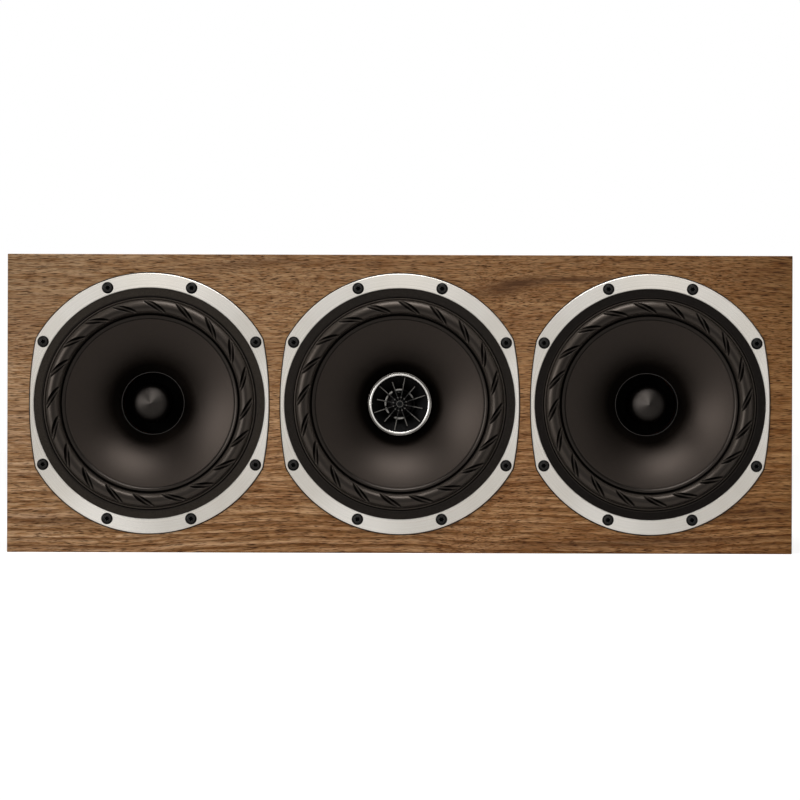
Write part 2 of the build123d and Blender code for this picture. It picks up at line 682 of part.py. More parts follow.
def tweeter_diaphragm():
    """Thin metal dome with a small roll, clamped by its flat rim."""

    def face(height):
        sphere = (DOME_RADIUS**2 + DOME_RISE**2) / (2 * DOME_RISE)
        middle = sphere - math.sqrt(sphere**2 - (DOME_RADIUS / 2) ** 2)
        return [
            ThreePointArc(
                (0, height + DOME_RISE),
                (DOME_RADIUS / 2, height + DOME_RISE - middle),
                (DOME_RADIUS, height),
            ),
            Polyline(
                (DOME_RADIUS, height),
                ((DOME_RADIUS + THROAT_RADIUS) / 2, height + DOME_ROLL_RISE),
                (THROAT_RADIUS, height),
                (TWEETER_MOTOR_RADIUS, height),
            ),
        ]

    front, back = DOME_FRONT, TWEETER_MOTOR_FRONT
    axis = Line((0, front + DOME_RISE), (0, back + DOME_RISE))
    rim = Line((TWEETER_MOTOR_RADIUS, front), (TWEETER_MOTOR_RADIUS, back))
    return turned(*face(front), *face(back), axis, rim)


def tweeter_motor():
    """Cup magnet under the dome, hollowed so that the dome moves clear of it."""
    cup = Pos(0, 0, TWEETER_MOTOR_BACK) * Cylinder(TWEETER_MOTOR_RADIUS, TWEETER_MOTOR_HEIGHT, align=FORWARD)
    well = Pos(0, 0, TWEETER_MOTOR_FRONT) * Cylinder(THROAT_RADIUS, TWEETER_MOTOR_WELL, align=BACKWARD)
    return cup - well


def tweeter_fin_plug():
    """Hub with long and short fins by turns; the long ones reach the horn's wall."""
    front = BEZEL_BACK - FIN_RECESS
    back = THROAT_FRONT
    depth = front - back
    fins = []
    pins = []
    for number, angle in enumerate(every(FIN_COUNT, FIN_TURN)):
        reach = SHORT_FIN_RADIUS if number % 2 else BEZEL_OUTER_RADIUS
        fin = Box(reach, FIN_THICKNESS, depth, align=(Align.MIN, Align.CENTER, Align.MIN))
        fins.append(Rot(0, 0, angle) * Pos(0, 0, back) * fin)
        pin = Cylinder(FIN_PIN_RADIUS, depth + FIN_PIN_HEIGHT, align=FORWARD)
        pins.append(Rot(0, 0, angle) * Pos(FIN_PIN_CIRCLE, 0, back) * pin)
    hub_back = DOME_FRONT + DOME_RISE + FIN_DOME_GAP
    hub = tube(0, FIN_HUB_RADIUS, hub_back, front + FIN_PIN_HEIGHT)
    bore = tube(0, FIN_HUB_BORE, front - FIN_HUB_BORE_DEPTH, front + FIN_PIN_HEIGHT)
    vanes = (fins[0] + fins[1:]) & horn_space()
    raised = [pin - tube(0, BEZEL_OUTER_RADIUS, back, hub_back) for pin in pins]
    dome_room = tube(0, DOME_RADIUS, back, hub_back)
    return (vanes - dome_room) + raised + hub - bore


# Rear terminals

def terminal_screw_places():
    across = TERMINAL_WIDTH / 2 - TERMINAL_SCREW_INSET
    up = TERMINAL_HEIGHT / 2 - TERMINAL_SCREW_INSET
    return [(x, TERMINAL_CENTER_HEIGHT + z) for x in (-across, across) for z in (-up, up)]


def terminal_plate():
    outline = RectangleRounded(TERMINAL_WIDTH, TERMINAL_HEIGHT, TERMINAL_CORNER)
    plate = on_rear(extrude(outline, TERMINAL_THICKNESS), 0, BACK_Y, TERMINAL_CENTER_HEIGHT)
    screw_hole = Cylinder(TERMINAL_SCREW_RADIUS + TERMINAL_SCREW_CLEARANCE, 4 * TERMINAL_THICKNESS)
    post_hole = Cylinder(POST_RADIUS, 4 * TERMINAL_THICKNESS)
    cutters = [on_rear(screw_hole, x, BACK_Y, z) for x, z in terminal_screw_places()]
    cutters += [on_rear(post_hole, x, BACK_Y, TERMINAL_CENTER_HEIGHT) for x in POST_X.values()]
    return plate - cutters


def terminal_screws():
    head = Cylinder(TERMINAL_SCREW_HEAD_RADIUS, TERMINAL_SCREW_HEAD_HEIGHT, align=FORWARD)
    head = fillet(head.edges().sort_by(Axis.Z)[-1], TERMINAL_SCREW_HEAD_HEIGHT / 2)
    lobes = Rectangle(TERMINAL_SCREW_HEAD_RADIUS, TERMINAL_SCREW_CLEARANCE * 3)
    slot = extrude(lobes + Rot(0, 0, 90) * lobes, -TERMINAL_SCREW_HEAD_HEIGHT / 2)
    screw = head - Pos(0, 0, TERMINAL_SCREW_HEAD_HEIGHT) * slot
    screw += Cylinder(TERMINAL_SCREW_RADIUS, TERMINAL_SCREW_LENGTH, align=BACKWARD)
    return [on_rear(screw, x, PLATE_FACE_Y, z) for x, z in terminal_screw_places()]


def post(colour):
    """Threaded post with a clamping flange and a socket for a banana plug."""
    shape = lathe(
        (0, POST_INNER_Y - PLATE_FACE_Y),
        (POST_RADIUS, POST_INNER_Y - PLATE_FACE_Y),
        (POST_RADIUS, 0),
        (POST_FLANGE_RADIUS, 0),
        (POST_FLANGE_RADIUS, POST_FLANGE_THICKNESS),
        (POST_RADIUS, POST_FLANGE_THICKNESS),
        (POST_RADIUS, POST_END_Y - PLATE_FACE_Y),
        (BANANA_RADIUS, POST_END_Y - PLATE_FACE_Y),
        (BANANA_RADIUS, POST_END_Y - PLATE_FACE_Y - BANANA_DEPTH),
        (0, POST_END_Y - PLATE_FACE_Y - BANANA_DEPTH),
    )
    return on_rear(shape, POST_X[colour], PLATE_FACE_Y, TERMINAL_CENTER_HEIGHT)


def washer(colour):
    ring = tube(POST_RADIUS + WASHER_CLEARANCE, POST_FLANGE_RADIUS, 0, WASHER_THICKNESS)
    return on_rear(ring, POST_X[colour], POST_FACE_Y, TERMINAL_CENTER_HEIGHT)


def nut(colour):
    """Fluted thumb nut that runs on the post's thread."""
    body = Cylinder(NUT_RADIUS, NUT_LENGTH, align=FORWARD)
    body = chamfer(body.edges().filter_by(GeomType.CIRCLE), NUT_CHAMFER)
    flute = Cylinder(NUT_FLUTE_RADIUS, NUT_LENGTH, align=FORWARD)
    body -= [place * flute for place in around(NUT_RADIUS, every(NUT_FLUTES))]
    body -= Cylinder(POST_RADIUS + NUT_CLEARANCE, NUT_LENGTH, align=FORWARD)
    return on_rear(body, POST_X[colour], WASHER_FACE_Y, TERMINAL_CENTER_HEIGHT)


# Crossover and wiring

def on_board(shape, x, height):
    """Sets a shape built along +Z onto the crossover board's face, pointing into the cabinet."""
    return Pos(x, BOARD_FACE_Y, BOARD_BOTTOM + height) * Rot(90, 0, 0) * shape


def crossover_board():
    board = Box(BOARD_WIDTH, BOARD_THICKNESS, BOARD_HEIGHT, align=(Align.CENTER, Align.MAX, Align.MIN))
    return Pos(0, INNER_BACK_Y, BOARD_BOTTOM) * board


def component_height():
    """Height of the component row's middle above the board's lower edge."""
    return BOARD_HEIGHT - COMPONENT_GAP - INDUCTOR_RADIUS


def crossover_inductor():
    coil = tube(INDUCTOR_BORE, INDUCTOR_RADIUS, 0, INDUCTOR_HEIGHT)
    return on_board(coil, COMPONENT_GAP + INDUCTOR_RADIUS, component_height())


def crossover_capacitor():
    can = Pos(0, 0, CAPACITOR_RADIUS) * Rot(0, 90, 0) * Cylinder(CAPACITOR_RADIUS, CAPACITOR_LENGTH)
    return on_board(can, -COMPONENT_GAP - CAPACITOR_LENGTH / 2, component_height() + CAPACITOR_RADIUS)


def crossover_resistor():
    block = Box(RESISTOR_LENGTH, RESISTOR_SIDE, RESISTOR_SIDE, align=FORWARD)
    below = component_height() - RESISTOR_SIDE
    return on_board(block, -COMPONENT_GAP - RESISTOR_LENGTH / 2, below)


def wire(*points):
    """A round lead along straight runs joined by tangent arcs."""
    path = FilletPolyline(*points, radius=WIRE_BEND)
    start = Plane(origin=path.position_at(0), z_dir=path.tangent_at(0))
    return sweep(start * Circle(WIRE_RADIUS), path=path)


def tab_place(side):
    """Where a lead meets the back of one driver's terminal tab, near its outer end."""
    turn = math.radians(TERMINAL_ANGLE)
    radius = spoke_radius(TAB_BACK) + TAB_REACH - WIRE_RADIUS
    across, up = radius * math.cos(turn), radius * math.sin(turn)
    return DRIVER_X[side] + across, FRONT_Y - TAB_BACK, DRIVER_HEIGHT + up


def driver_lead(side):
    """From the board, down to the cabinet's floor, along it, forwards and up to the driver's tab."""
    tab_x, tab_y, tab_z = tab_place(side)
    board_end = BOARD_WIDTH / 2 - WIRE_INSET
    start_x = {"left": -board_end, "center": tab_x, "right": board_end}[side]
    route = [
        (start_x, BOARD_FACE_Y, WIRE_LEVEL),
        (start_x, WIRE_LANE_Y, WIRE_LEVEL),
        (start_x, WIRE_LANE_Y, WIRE_FLOOR),
    ]
    if side != "center":
        route.append((tab_x, WIRE_LANE_Y, WIRE_FLOOR))
    rise_y = tab_y + WIRE_RISE
    route += [(tab_x, rise_y, WIRE_FLOOR), (tab_x, rise_y, tab_z), (tab_x, tab_y, tab_z)]
    return wire(*route)


def input_lead(colour):
    """From a binding post's inner end, into the cabinet, up and back to the board."""
    x = POST_X[colour]
    return wire(
        (x, POST_INNER_Y, TERMINAL_CENTER_HEIGHT),
        (x, WIRE_LANE_Y, TERMINAL_CENTER_HEIGHT),
        (x, WIRE_LANE_Y, WIRE_LEVEL),
        (x, BOARD_FACE_Y, WIRE_LEVEL),
    )


def tweeter_lead():
    """Straight from the board through the middle motor's vent to the tweeter."""
    start = FRONT_Y - (POLE_FRONT - SPIGOT_LENGTH)
    lead = Cylinder(TWEETER_WIRE_RADIUS, BOARD_FACE_Y - start, align=FORWARD)
    return Pos(0, start, DRIVER_HEIGHT) * Rot(-90, 0, 0) * lead


def wiring_harness():
    leads = [driver_lead(side) for side in DRIVER_X]
    leads += [input_lead(colour) for colour in POST_X]
    return leads + [tweeter_lead()]


def driver_nodes():
    """Every driver's own pieces, by node name."""
    shared = {
        "trim_ring": trim_ring(),
        "gasket": gasket(),
        "basket": basket(),
        "cone": cone(),
        "voice_coil": voice_coil(),
        "spider": spider(),
        "front_plate": front_plate(),
        "magnet": magnet(),
        "pole_yoke": pole_yoke(),
    }
    roll = surround()
    nodes = {}
    for side in DRIVER_X:
        for name, shape in shared.items():
            nodes[f"{side}_{name}"] = on_driver(shape, side)
        nodes[f"{side}_surround"] = on_driver(Rot(0, 0, SURROUND_TURN[side]) * roll, side)
    for side in ("left", "right"):
        nodes[f"{side}_phase_plug"] = on_driver(phase_plug(), side)
    for build in (tweeter_bezel, tweeter_housing, tweeter_fin_plug, tweeter_diaphragm, tweeter_motor):
        nodes[build.__name__] = on_driver(build(), "center")
    return nodes


def nodes():
    """Every node of the loudspeaker, by name."""
    made = {
        "front_baffle": front_baffle(),
        "rear_panel": rear_panel(),
        "top_panel": top_panel(),
        "bottom_panel": bottom_panel(),
        "left_panel": side_panel(-1),
        "right_panel": side_panel(1),
        "left_brace": brace(-1),
        "right_brace": brace(1),
        "driver_screws": driver_screws(),
        "threaded_inserts": threaded_inserts(),
        "terminal_plate": terminal_plate(),
        "terminal_screws": terminal_screws(),
        "crossover_board": crossover_board(),
        "crossover_capacitor": crossover_capacitor(),
        "crossover_inductor": crossover_inductor(),
        "crossover_resistor": crossover_resistor(),
        "wiring_harness": wiring_harness(),
    }
    made.update(driver_nodes())
    for colour in POST_X:
        made[f"{colour}_post"] = post(colour)
        made[f"{colour}_washer"] = washer(colour)
        made[f"{colour}_nut"] = nut(colour)
    return made


os.makedirs("parts", exist_ok=True)
for name, shape in nodes().items():
    solids = shape if isinstance(shape, list) else shape.solids()
    export_step(Compound(children=list(solids)) if len(solids) > 1 else solids[0], f"parts/{name}.step")
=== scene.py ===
import math

import bpy
import numpy as np
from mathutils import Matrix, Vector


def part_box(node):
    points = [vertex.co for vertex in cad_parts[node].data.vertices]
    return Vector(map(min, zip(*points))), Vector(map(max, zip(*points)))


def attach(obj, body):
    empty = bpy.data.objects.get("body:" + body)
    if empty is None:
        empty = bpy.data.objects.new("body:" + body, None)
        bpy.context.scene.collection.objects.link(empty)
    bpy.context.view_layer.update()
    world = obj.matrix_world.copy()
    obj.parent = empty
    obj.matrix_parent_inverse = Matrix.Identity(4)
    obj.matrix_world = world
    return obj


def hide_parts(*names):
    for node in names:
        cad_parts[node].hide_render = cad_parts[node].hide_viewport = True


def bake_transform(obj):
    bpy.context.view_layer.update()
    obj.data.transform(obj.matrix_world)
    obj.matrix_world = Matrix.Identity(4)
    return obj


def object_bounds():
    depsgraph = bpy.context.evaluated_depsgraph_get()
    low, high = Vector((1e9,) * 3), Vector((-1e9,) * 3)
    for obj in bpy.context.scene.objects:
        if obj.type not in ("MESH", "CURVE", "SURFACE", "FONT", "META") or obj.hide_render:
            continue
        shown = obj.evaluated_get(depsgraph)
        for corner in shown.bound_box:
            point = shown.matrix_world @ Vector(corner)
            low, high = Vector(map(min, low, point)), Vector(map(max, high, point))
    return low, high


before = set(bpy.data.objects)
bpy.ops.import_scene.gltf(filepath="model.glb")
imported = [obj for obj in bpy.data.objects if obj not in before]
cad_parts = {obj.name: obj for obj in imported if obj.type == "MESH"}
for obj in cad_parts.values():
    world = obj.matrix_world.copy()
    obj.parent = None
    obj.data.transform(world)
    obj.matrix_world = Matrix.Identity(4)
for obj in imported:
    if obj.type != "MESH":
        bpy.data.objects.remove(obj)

cad_low, cad_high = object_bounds()


# Cabinet boards. Six 22 mm fibreboards, mitred, glued and faced with walnut veneer under a satin lacquer.
# The grain runs along the speaker on the long boards and from front to back on the two ends.
# The front board carries a few broad dark streaks of heartwood. Its right end is painted darker than its
# left, and its top darker than its foot, as shade where less light falls.
def linear(code):
    """The linear colour, with full alpha, of an sRGB hex code."""
    srgb = np.array([int(code[i : i + 2], 16) for i in (1, 3, 5)]) / 255
    steep = ((srgb + 0.055) / 1.055) ** 2.4
    return (*np.where(srgb < 0.04045, srgb / 12.92, steep).tolist(), 1.0)


def node(tree, kind, inputs=None, stops=None, **settings):
    """Adds a node, makes its settings, links or fills its inputs, and gives a colour ramp its stops."""
    made = tree.nodes.new("ShaderNode" + kind)
    for name, value in settings.items():
        setattr(made, name, value)
    for name, value in (inputs or {}).items():
        if isinstance(value, bpy.types.NodeSocket):
            tree.links.new(value, made.inputs[name])
        else:
            made.inputs[name].default_value = value
    if stops:
        elements = made.color_ramp.elements
        elements[0].position = stops[0][0]
        elements[1].position = stops[-1][0]
        for place, _ in stops[1:-1]:
            elements.new(place)
        for element, (_, code) in zip(elements, stops):
            element.color = linear(code)
    return made


def new_material(name, **sockets):
    """A material with one Principled shader, whose even values are set on its own sockets."""
    material = bpy.data.materials.new(name)
    material.use_nodes = True
    shader = material.node_tree.nodes["Principled BSDF"]
    for socket, value in sockets.items():
        shader.inputs[socket.replace("_", " ")].default_value = value
    return material, material.node_tree, shader


def dress(material, *names):
    """Gives the material to CAD nodes."""
    for name in names:
        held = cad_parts[name].data.materials
        held.clear()
        held.append(material)


def spot(tree, place, x, z, length, width, tilt):
    """A soft spot on the front, in mm and degrees: 1 in its middle, 0 at its half length and half width."""
    lie = {
        "Vector": place,
        "Location": (x / 1000, 0, z / 1000),
        "Rotation": (0, math.radians(-tilt), 0),
        "Scale": (length / 1000, 1.0, width / 1000),
    }
    local = node(tree, "Mapping", lie, vector_type="TEXTURE").outputs[0]
    return node(tree, "TexGradient", {"Vector": local}, gradient_type="SPHERICAL").outputs["Fac"]


# The grain sways once in 360 mm along the board and once in 170 mm across it, by up to 40 mm.
SWAYS_PER_METRE = (2.8, 6.0, 6.0)
SWAY = (0.0, 0.04, 0.04)
# Growth rings are 8 mm apart. A wave pattern of scale 1 repeats every 0.314 m.
WAVE_PERIOD = 0.314
RING_SPACING = 0.008
RING_STRETCH = (0.12, 1.0, 1.0)
PAINT_DEPTH = 0.0005
PAINT_EDGE = 0.0003


def walnut(name, turn, streaks, painted_from=None):
    """Lacquered veneer: gives the eye a brown board full of short dark flecks along a slowly swaying grain.
    Growth lines come out towards the lower edge. The brown is painted darker upwards, and darker and warmer
    to the right, as shade where less light falls.
    Behind painted_from, a y in metres, the cut edges are painted black."""
    material, tree, shader = new_material(name, Roughness=0.5, Specular_IOR_Level=0.12)
    place = node(tree, "TexCoord").outputs["Object"]
    laid = node(tree, "Mapping", {"Vector": place, "Rotation": (0, 0, turn)}).outputs[0]
    slow = node(tree, "Mapping", {"Vector": laid, "Scale": SWAYS_PER_METRE}).outputs[0]
    sway = node(tree, "TexNoise", {"Vector": slow, "Scale": 1.0, "Detail": 2.0}).outputs["Color"]
    swaying = {0: sway, 1: SWAY, 2: laid}
    grain = node(tree, "VectorMath", swaying, operation="MULTIPLY_ADD").outputs[0]

    def strokes(length, width, detail):
        """Noise in strokes of a length and a width, in mm, along the grain."""
        scale = (1000 / length, 1000 / width, 1000 / width)
        stretched = node(tree, "Mapping", {"Vector": grain, "Scale": scale}).outputs[0]
        look = {"Vector": stretched, "Scale": 1.0, "Detail": detail, "Roughness": 0.6}
        return node(tree, "TexNoise", look).outputs["Fac"]

    bands = strokes(380, 18, 3.0)
    lines = strokes(300, 3.2, 2.0)
    drawn = node(tree, "Mapping", {"Vector": grain, "Scale": RING_STRETCH}).outputs[0]
    look = {"Vector": drawn, "Scale": WAVE_PERIOD / RING_SPACING}
    look |= {"Distortion": 5.0, "Detail": 2.0, "Detail Scale": 0.6}
    rings = node(tree, "TexWave", look, bands_direction="Z", wave_profile="SAW").outputs["Fac"]
    # Real pores are 0.2 mm wide. They are drawn 0.5 mm wide, so that they hold together at a step away.
    pores = strokes(9, 0.55, 1.5)
    mottle = strokes(30, 5, 2.0)
    threads = strokes(26, 0.9, 2.0)
    axes = node(tree, "SeparateXYZ", {0: laid}).outputs
    low = {"Value": axes["Z"], "From Min": 0.17, "From Max": 0.03, "To Min": 0.3, "To Max": 1.0}
    low = node(tree, "MapRange", low).outputs[0]
    # Painted shade: along darkens and warms the boards towards their right end, and high darkens them towards
    # the top, where less light falls.
    along = node(tree, "MapRange", {"Value": axes["X"], "From Min": -0.4, "From Max": 0.4}).outputs[0]
    high = node(tree, "MapRange", {"Value": axes["Z"], "From Min": 0.1, "From Max": 0.3}).outputs[0]
    tones = [(0.30, "#ae8d6e"), (0.50, "#bc9d7d"), (0.70, "#c8aa8a")]
    colour = node(tree, "ValToRGB", {"Fac": bands}, tones).outputs["Color"]
    for pattern, amount, stops in (
        (along, 1.0, [(0.0, "#ffffff"), (0.25, "#f6efe6"), (0.9, "#e8d5bb"), (1.0, "#d6c19f")]),
        (high, 1.0, [(0.0, "#ffffff"), (1.0, "#c7c4be")]),
        (mottle, 1.0, [(0.32, "#ebe1d4"), (0.62, "#ffffff")]),
        (lines, low, [(0.38, "#d8cab4"), (0.56, "#ffffff")]),
        (rings, low, [(0.3, "#ffffff"), (0.85, "#b9a78e"), (1.0, "#ffffff")]),
        (threads, 1.0, [(0.38, "#cbb598"), (0.54, "#ffffff")]),
        (pores, 1.0, [(0.33, "#5e4527"), (0.50, "#ffffff")]),
    ):
        shade = node(tree, "ValToRGB", {"Fac": pattern}, stops).outputs["Color"]
        both = {"Fac": amount, "Color1": colour, "Color2": shade}
        colour = node(tree, "MixRGB", both, blend_type="MULTIPLY").outputs["Color"]
    for *outline, strength in streaks:
        heart = spot(tree, place, *outline)
        uneven = node(tree, "Math", {0: heart, 1: lines}, operation="MULTIPLY").outputs[0]
        stronger = {0: uneven, 1: strength}
        amount = node(tree, "Math", stronger, operation="MULTIPLY", use_clamp=True).outputs[0]
        dark = {"Fac": amount, "Color1": colour, "Color2": linear("#432a17")}
        colour = node(tree, "MixRGB", dark).outputs["Color"]
    if painted_from is not None:
        deep = {"Value": node(tree, "SeparateXYZ", {0: place}).outputs["Y"], "From Min": painted_from}
        deep = node(tree, "MapRange", deep | {"From Max": painted_from + PAINT_EDGE}).outputs[0]
        paint = {"Fac": deep, "Color1": colour, "Color2": linear("#0d0c0b")}
        colour = node(tree, "MixRGB", paint).outputs["Color"]
    tree.links.new(colour, shader.inputs["Base Color"])
    bump = node(tree, "Bump", {"Height": pores, "Strength": 0.12, "Distance": 0.0002})
    tree.links.new(bump.outputs["Normal"], shader.inputs["Normal"])
    return material


# Each streak is its middle, x and height, then its half length and half width, all in mm,
# its tilt in degrees and its strength.
FRONT_STREAKS = (
    (112, 268, 58, 10, 12, 2.1),
    (176, 274.5, 75, 4, 1, 1.9),
    (-155, 289, 75, 6, 4, 1.3),
    (330, 40, 110, 12, 4, 1.2),
    (250, 12, 180, 7, 2, 1.3),
    (-340, 30, 60, 9, -3, 1.0),
)
rebate_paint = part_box("front_baffle")[0].y + PAINT_DEPTH
dress(walnut("walnut_veneer_front_board", 0, FRONT_STREAKS, rebate_paint), "front_baffle")
dress(walnut("walnut_veneer_lengthwise", 0, ()), "rear_panel", "top_panel", "bottom_panel")
dress(walnut("walnut_veneer_crosswise", math.radians(90), ()), "left_panel", "right_panel")


# Window braces. Two birch plywood frames glued between the drivers, which tie the long boards together.
# They are bare wood and hidden when the speaker is whole.
# Streaks are 250 mm long, 17 mm high and 3 mm thick.
PLY_STREAKS_PER_METRE = (300, 4, 60)


def birch_plywood(name):
    """Bare birch: gives the eye a pale, softly streaked board."""
    material, tree, shader = new_material(name, Roughness=0.7)
    place = node(tree, "TexCoord").outputs["Object"]
    stretched = node(tree, "Mapping", {"Vector": place, "Scale": PLY_STREAKS_PER_METRE}).outputs[0]
    streak = node(tree, "TexNoise", {"Vector": stretched, "Scale": 1.0, "Detail": 3.0}).outputs["Fac"]
    tones = [(0.35, "#bd9c70"), (0.65, "#d8bd94")]
    colour = node(tree, "ValToRGB", {"Fac": streak}, tones).outputs["Color"]
    tree.links.new(colour, shader.inputs["Base Color"])
    return material


birch = birch_plywood("birch_plywood_sanded")
dress(birch, "left_brace", "right_brace")


# Baskets. One aluminium casting per driver, powder-coated black, screwed to the front board by its flange.
def grainy(name, dark, light, size, bump, **sockets):
    """A surface with a fine even grain: noise of a real size in mm tints it between two colours
    and roughens it."""
    material, tree, shader = new_material(name, **sockets)
    place = node(tree, "TexCoord").outputs["Object"]
    speck = node(tree, "TexNoise", {"Vector": place, "Scale": 1000 / size, "Detail": 3.0}).outputs["Fac"]
    tint = node(tree, "ValToRGB", {"Fac": speck}, [(0.35, dark), (0.65, light)]).outputs["Color"]
    tree.links.new(tint, shader.inputs["Base Color"])
    height = node(tree, "Bump", {"Height": speck, "Strength": bump, "Distance": size / 4000})
    tree.links.new(height.outputs["Normal"], shader.inputs["Normal"])
    return material


SIDES = ("left", "center", "right")
powder_coat = grainy("black_powder_coat", "#161616", "#242424", 0.8, 0.4, Roughness=0.6)
dress(powder_coat, *[side + "_basket" for side in SIDES])


# Motors. A ring of black ferrite between two steel plates, the rear one forged with its pole.
# The steel is blackened with phosphate, so nothing bright shows down the cone's neck.
ferrite = grainy("pressed_ferrite", "#1b1b1d", "#2a2a2c", 1.5, 0.3, Roughness=0.7)
dull = {"Roughness": 0.9, "Specular_IOR_Level": 0.05}
phosphate = grainy("phosphated_steel", "#050505", "#0b0b0a", 1.2, 0.2, **dull)
dress(ferrite, *[side + "_magnet" for side in SIDES])
dress(phosphate, *[side + "_front_plate" for side in SIDES])
dress(phosphate, *[side + "_pole_yoke" for side in SIDES])
dress(phosphate, "tweeter_motor")


# Voice coils and spiders. Each coil is copper wire wound on an aluminium tube, glued into the cone's neck.
# The spider is a disc of resin-dipped cotton pressed into rings, which keeps the coil on its axis.
WINDING_FRONT = -0.082
WINDING_EDGE = 0.001
# The wire is 0.2 mm thick. It is drawn 1 mm thick, so that it shows at a step away.
WIRE_SPACING = 0.00105


def wound_copper(name):
    """Aluminium tube in front and copper winding behind: fine rings of wire show on the copper only."""
    material, tree, shader = new_material(name, Metallic=1.0, Roughness=0.35)
    place = node(tree, "TexCoord").outputs["Object"]
    depth = node(tree, "SeparateXYZ", {0: place}).outputs["Y"]
    span = {"From Min": WINDING_FRONT, "From Max": WINDING_FRONT + WINDING_EDGE}
    behind = node(tree, "MapRange", {"Value": depth} | span).outputs[0]
    tint = [(0.0, "#55524f"), (1.0, "#b3663c")]
    tint = node(tree, "ValToRGB", {"Fac": behind}, tint).outputs["Color"]
    tree.links.new(tint, shader.inputs["Base Color"])
    look = {"Vector": place, "Scale": WAVE_PERIOD / WIRE_SPACING}
    wire = node(tree, "TexWave", look, bands_direction="Y").outputs["Fac"]
    height = node(tree, "Bump", {"Height": wire, "Strength": 0.3, "Distance": 0.0002})
    tree.links.new(height.outputs["Normal"], shader.inputs["Normal"])
    return material


dress(wound_copper("wound_copper_on_aluminium"), *[side + "_voice_coil" for side in SIDES])
dipped_cotton = grainy("resin_dipped_cotton", "#8a6a3c", "#b08c55", 1.0, 0.6, Roughness=0.85)
dress(dipped_cotton, *[side + "_spider" for side in SIDES])


# Cones. Pressed paper pulp, dyed dark brown and coated on the front, curving from a shallow rim to a neck.
# Each is glued to its surround at the rim and to its coil's tube at the neck, and moves with them.
FRONT_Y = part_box("front_baffle")[0].y
CONE_RIM_FRONT = -6.0
CONE_RIM_RADIUS = 85.7
CONE_EDGE_RADIUS = 84.5
CONE_EDGE_ANGLE = 22.0
CONE_NECK_ANGLE = 60.0
CONE_NECK_RADIUS = 31.8
CONE_THICKNESS = 0.9
GLUED_RADIUS = 39.5
COATED_RADIUS = 45.5
FIBRES_PER_METRE = 700.0
CONE_ARC = (CONE_EDGE_RADIUS - CONE_NECK_RADIUS) / (
    math.sin(math.radians(CONE_NECK_ANGLE)) - math.sin(math.radians(CONE_EDGE_ANGLE))
)


def axis(side):
    """The x and the height of a driver's axis, in metres."""
    low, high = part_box(side + "_gasket")
    return (low.x + high.x) / 2, (low.z + high.z) / 2


def arc(centre, radius, start, stop, steps):
    """Points (radius, height) on an arc: centre plus radius times (cos, sin) of angles from start to stop,
    in degrees."""
    turn = np.radians(np.linspace(start, stop, steps))
    return np.stack([centre[0] + radius * np.cos(turn), centre[1] + radius * np.sin(turn)], 1)


def turned(side, section, turns):
    """Turns points (radius, height), in mm, about a driver's axis:
    x = cx + r cos t, y = front - h, z = cz + r sin t.
    The turns are one row of angles for all points, or one row for each."""
    cx, cz = axis(side)
    radius, height = section[..., 0] / 1000, section[..., 1] / 1000
    across = cx + radius * np.cos(turns)
    up = cz + radius * np.sin(turns)
    return np.stack([across, FRONT_Y - height + 0 * up, up], -1)


def skin(name, points, ring=True, crease=None, places=np.zeros((1, 3))):
    """A closed mesh of quads over a grid of points, whose columns join up, and rows too where ring is true.
    The faces are turned to point outwards. Edges over the crease angle, in degrees, stay sharp.
    The grid is repeated at each of the places."""
    rows, columns = points.shape[:2]
    i, j = np.meshgrid(np.arange(rows if ring else rows - 1), np.arange(columns), indexing="ij")
    down, right = (i + 1) % rows, (j + 1) % columns
    corners = [i * columns + j, down * columns + j, down * columns + right, i * columns + right]
    quads = np.stack(corners, -1).reshape(-1, 4)
    flat = points.reshape(-1, 3)
    a, b, c, d = (flat[quads[:, k]] - flat.mean(0) for k in range(4))
    volume = (np.cross(a, b) * c).sum() + (np.cross(a, c) * d).sum()
    if volume < 0:
        quads = quads[:, ::-1]
    quads = (quads + len(flat) * np.arange(len(places))[:, None, None]).reshape(-1, 4)
    flat = (flat + places[:, None, :]).reshape(-1, 3)
    mesh = bpy.data.meshes.new(name)
    mesh.from_pydata(flat.tolist(), [], quads.tolist())
    mesh.polygons.foreach_set("use_smooth", np.ones(len(quads), bool))
    if crease:
        mesh.set_sharp_from_angle(angle=math.radians(crease))
    piece = bpy.data.objects.new(name, mesh)
    bpy.context.scene.collection.objects.link(piece)
    return piece


FULL_TURN = 2 * math.pi


def round_the_axis(steps):
    """Evenly spaced angles once round."""
    return np.arange(steps) * FULL_TURN / steps


def across_axis(tree, side):
    """A point's place across a driver's axis, in metres, as a socket."""
    cx, cz = axis(side)
    place = node(tree, "TexCoord").outputs["Object"]
    centred = node(tree, "Mapping", {"Vector": place, "Location": (-cx, 0, -cz)}).outputs[0]
    return node(tree, "VectorMath", {0: centred, 1: (1, 0, 1)}, operation="MULTIPLY").outputs[0]


def from_axis(tree, side):
    """The distance of a point from a driver's axis, in metres, as a socket."""
    return node(tree, "VectorMath", {0: across_axis(tree, side)}, operation="LENGTH").outputs["Value"]


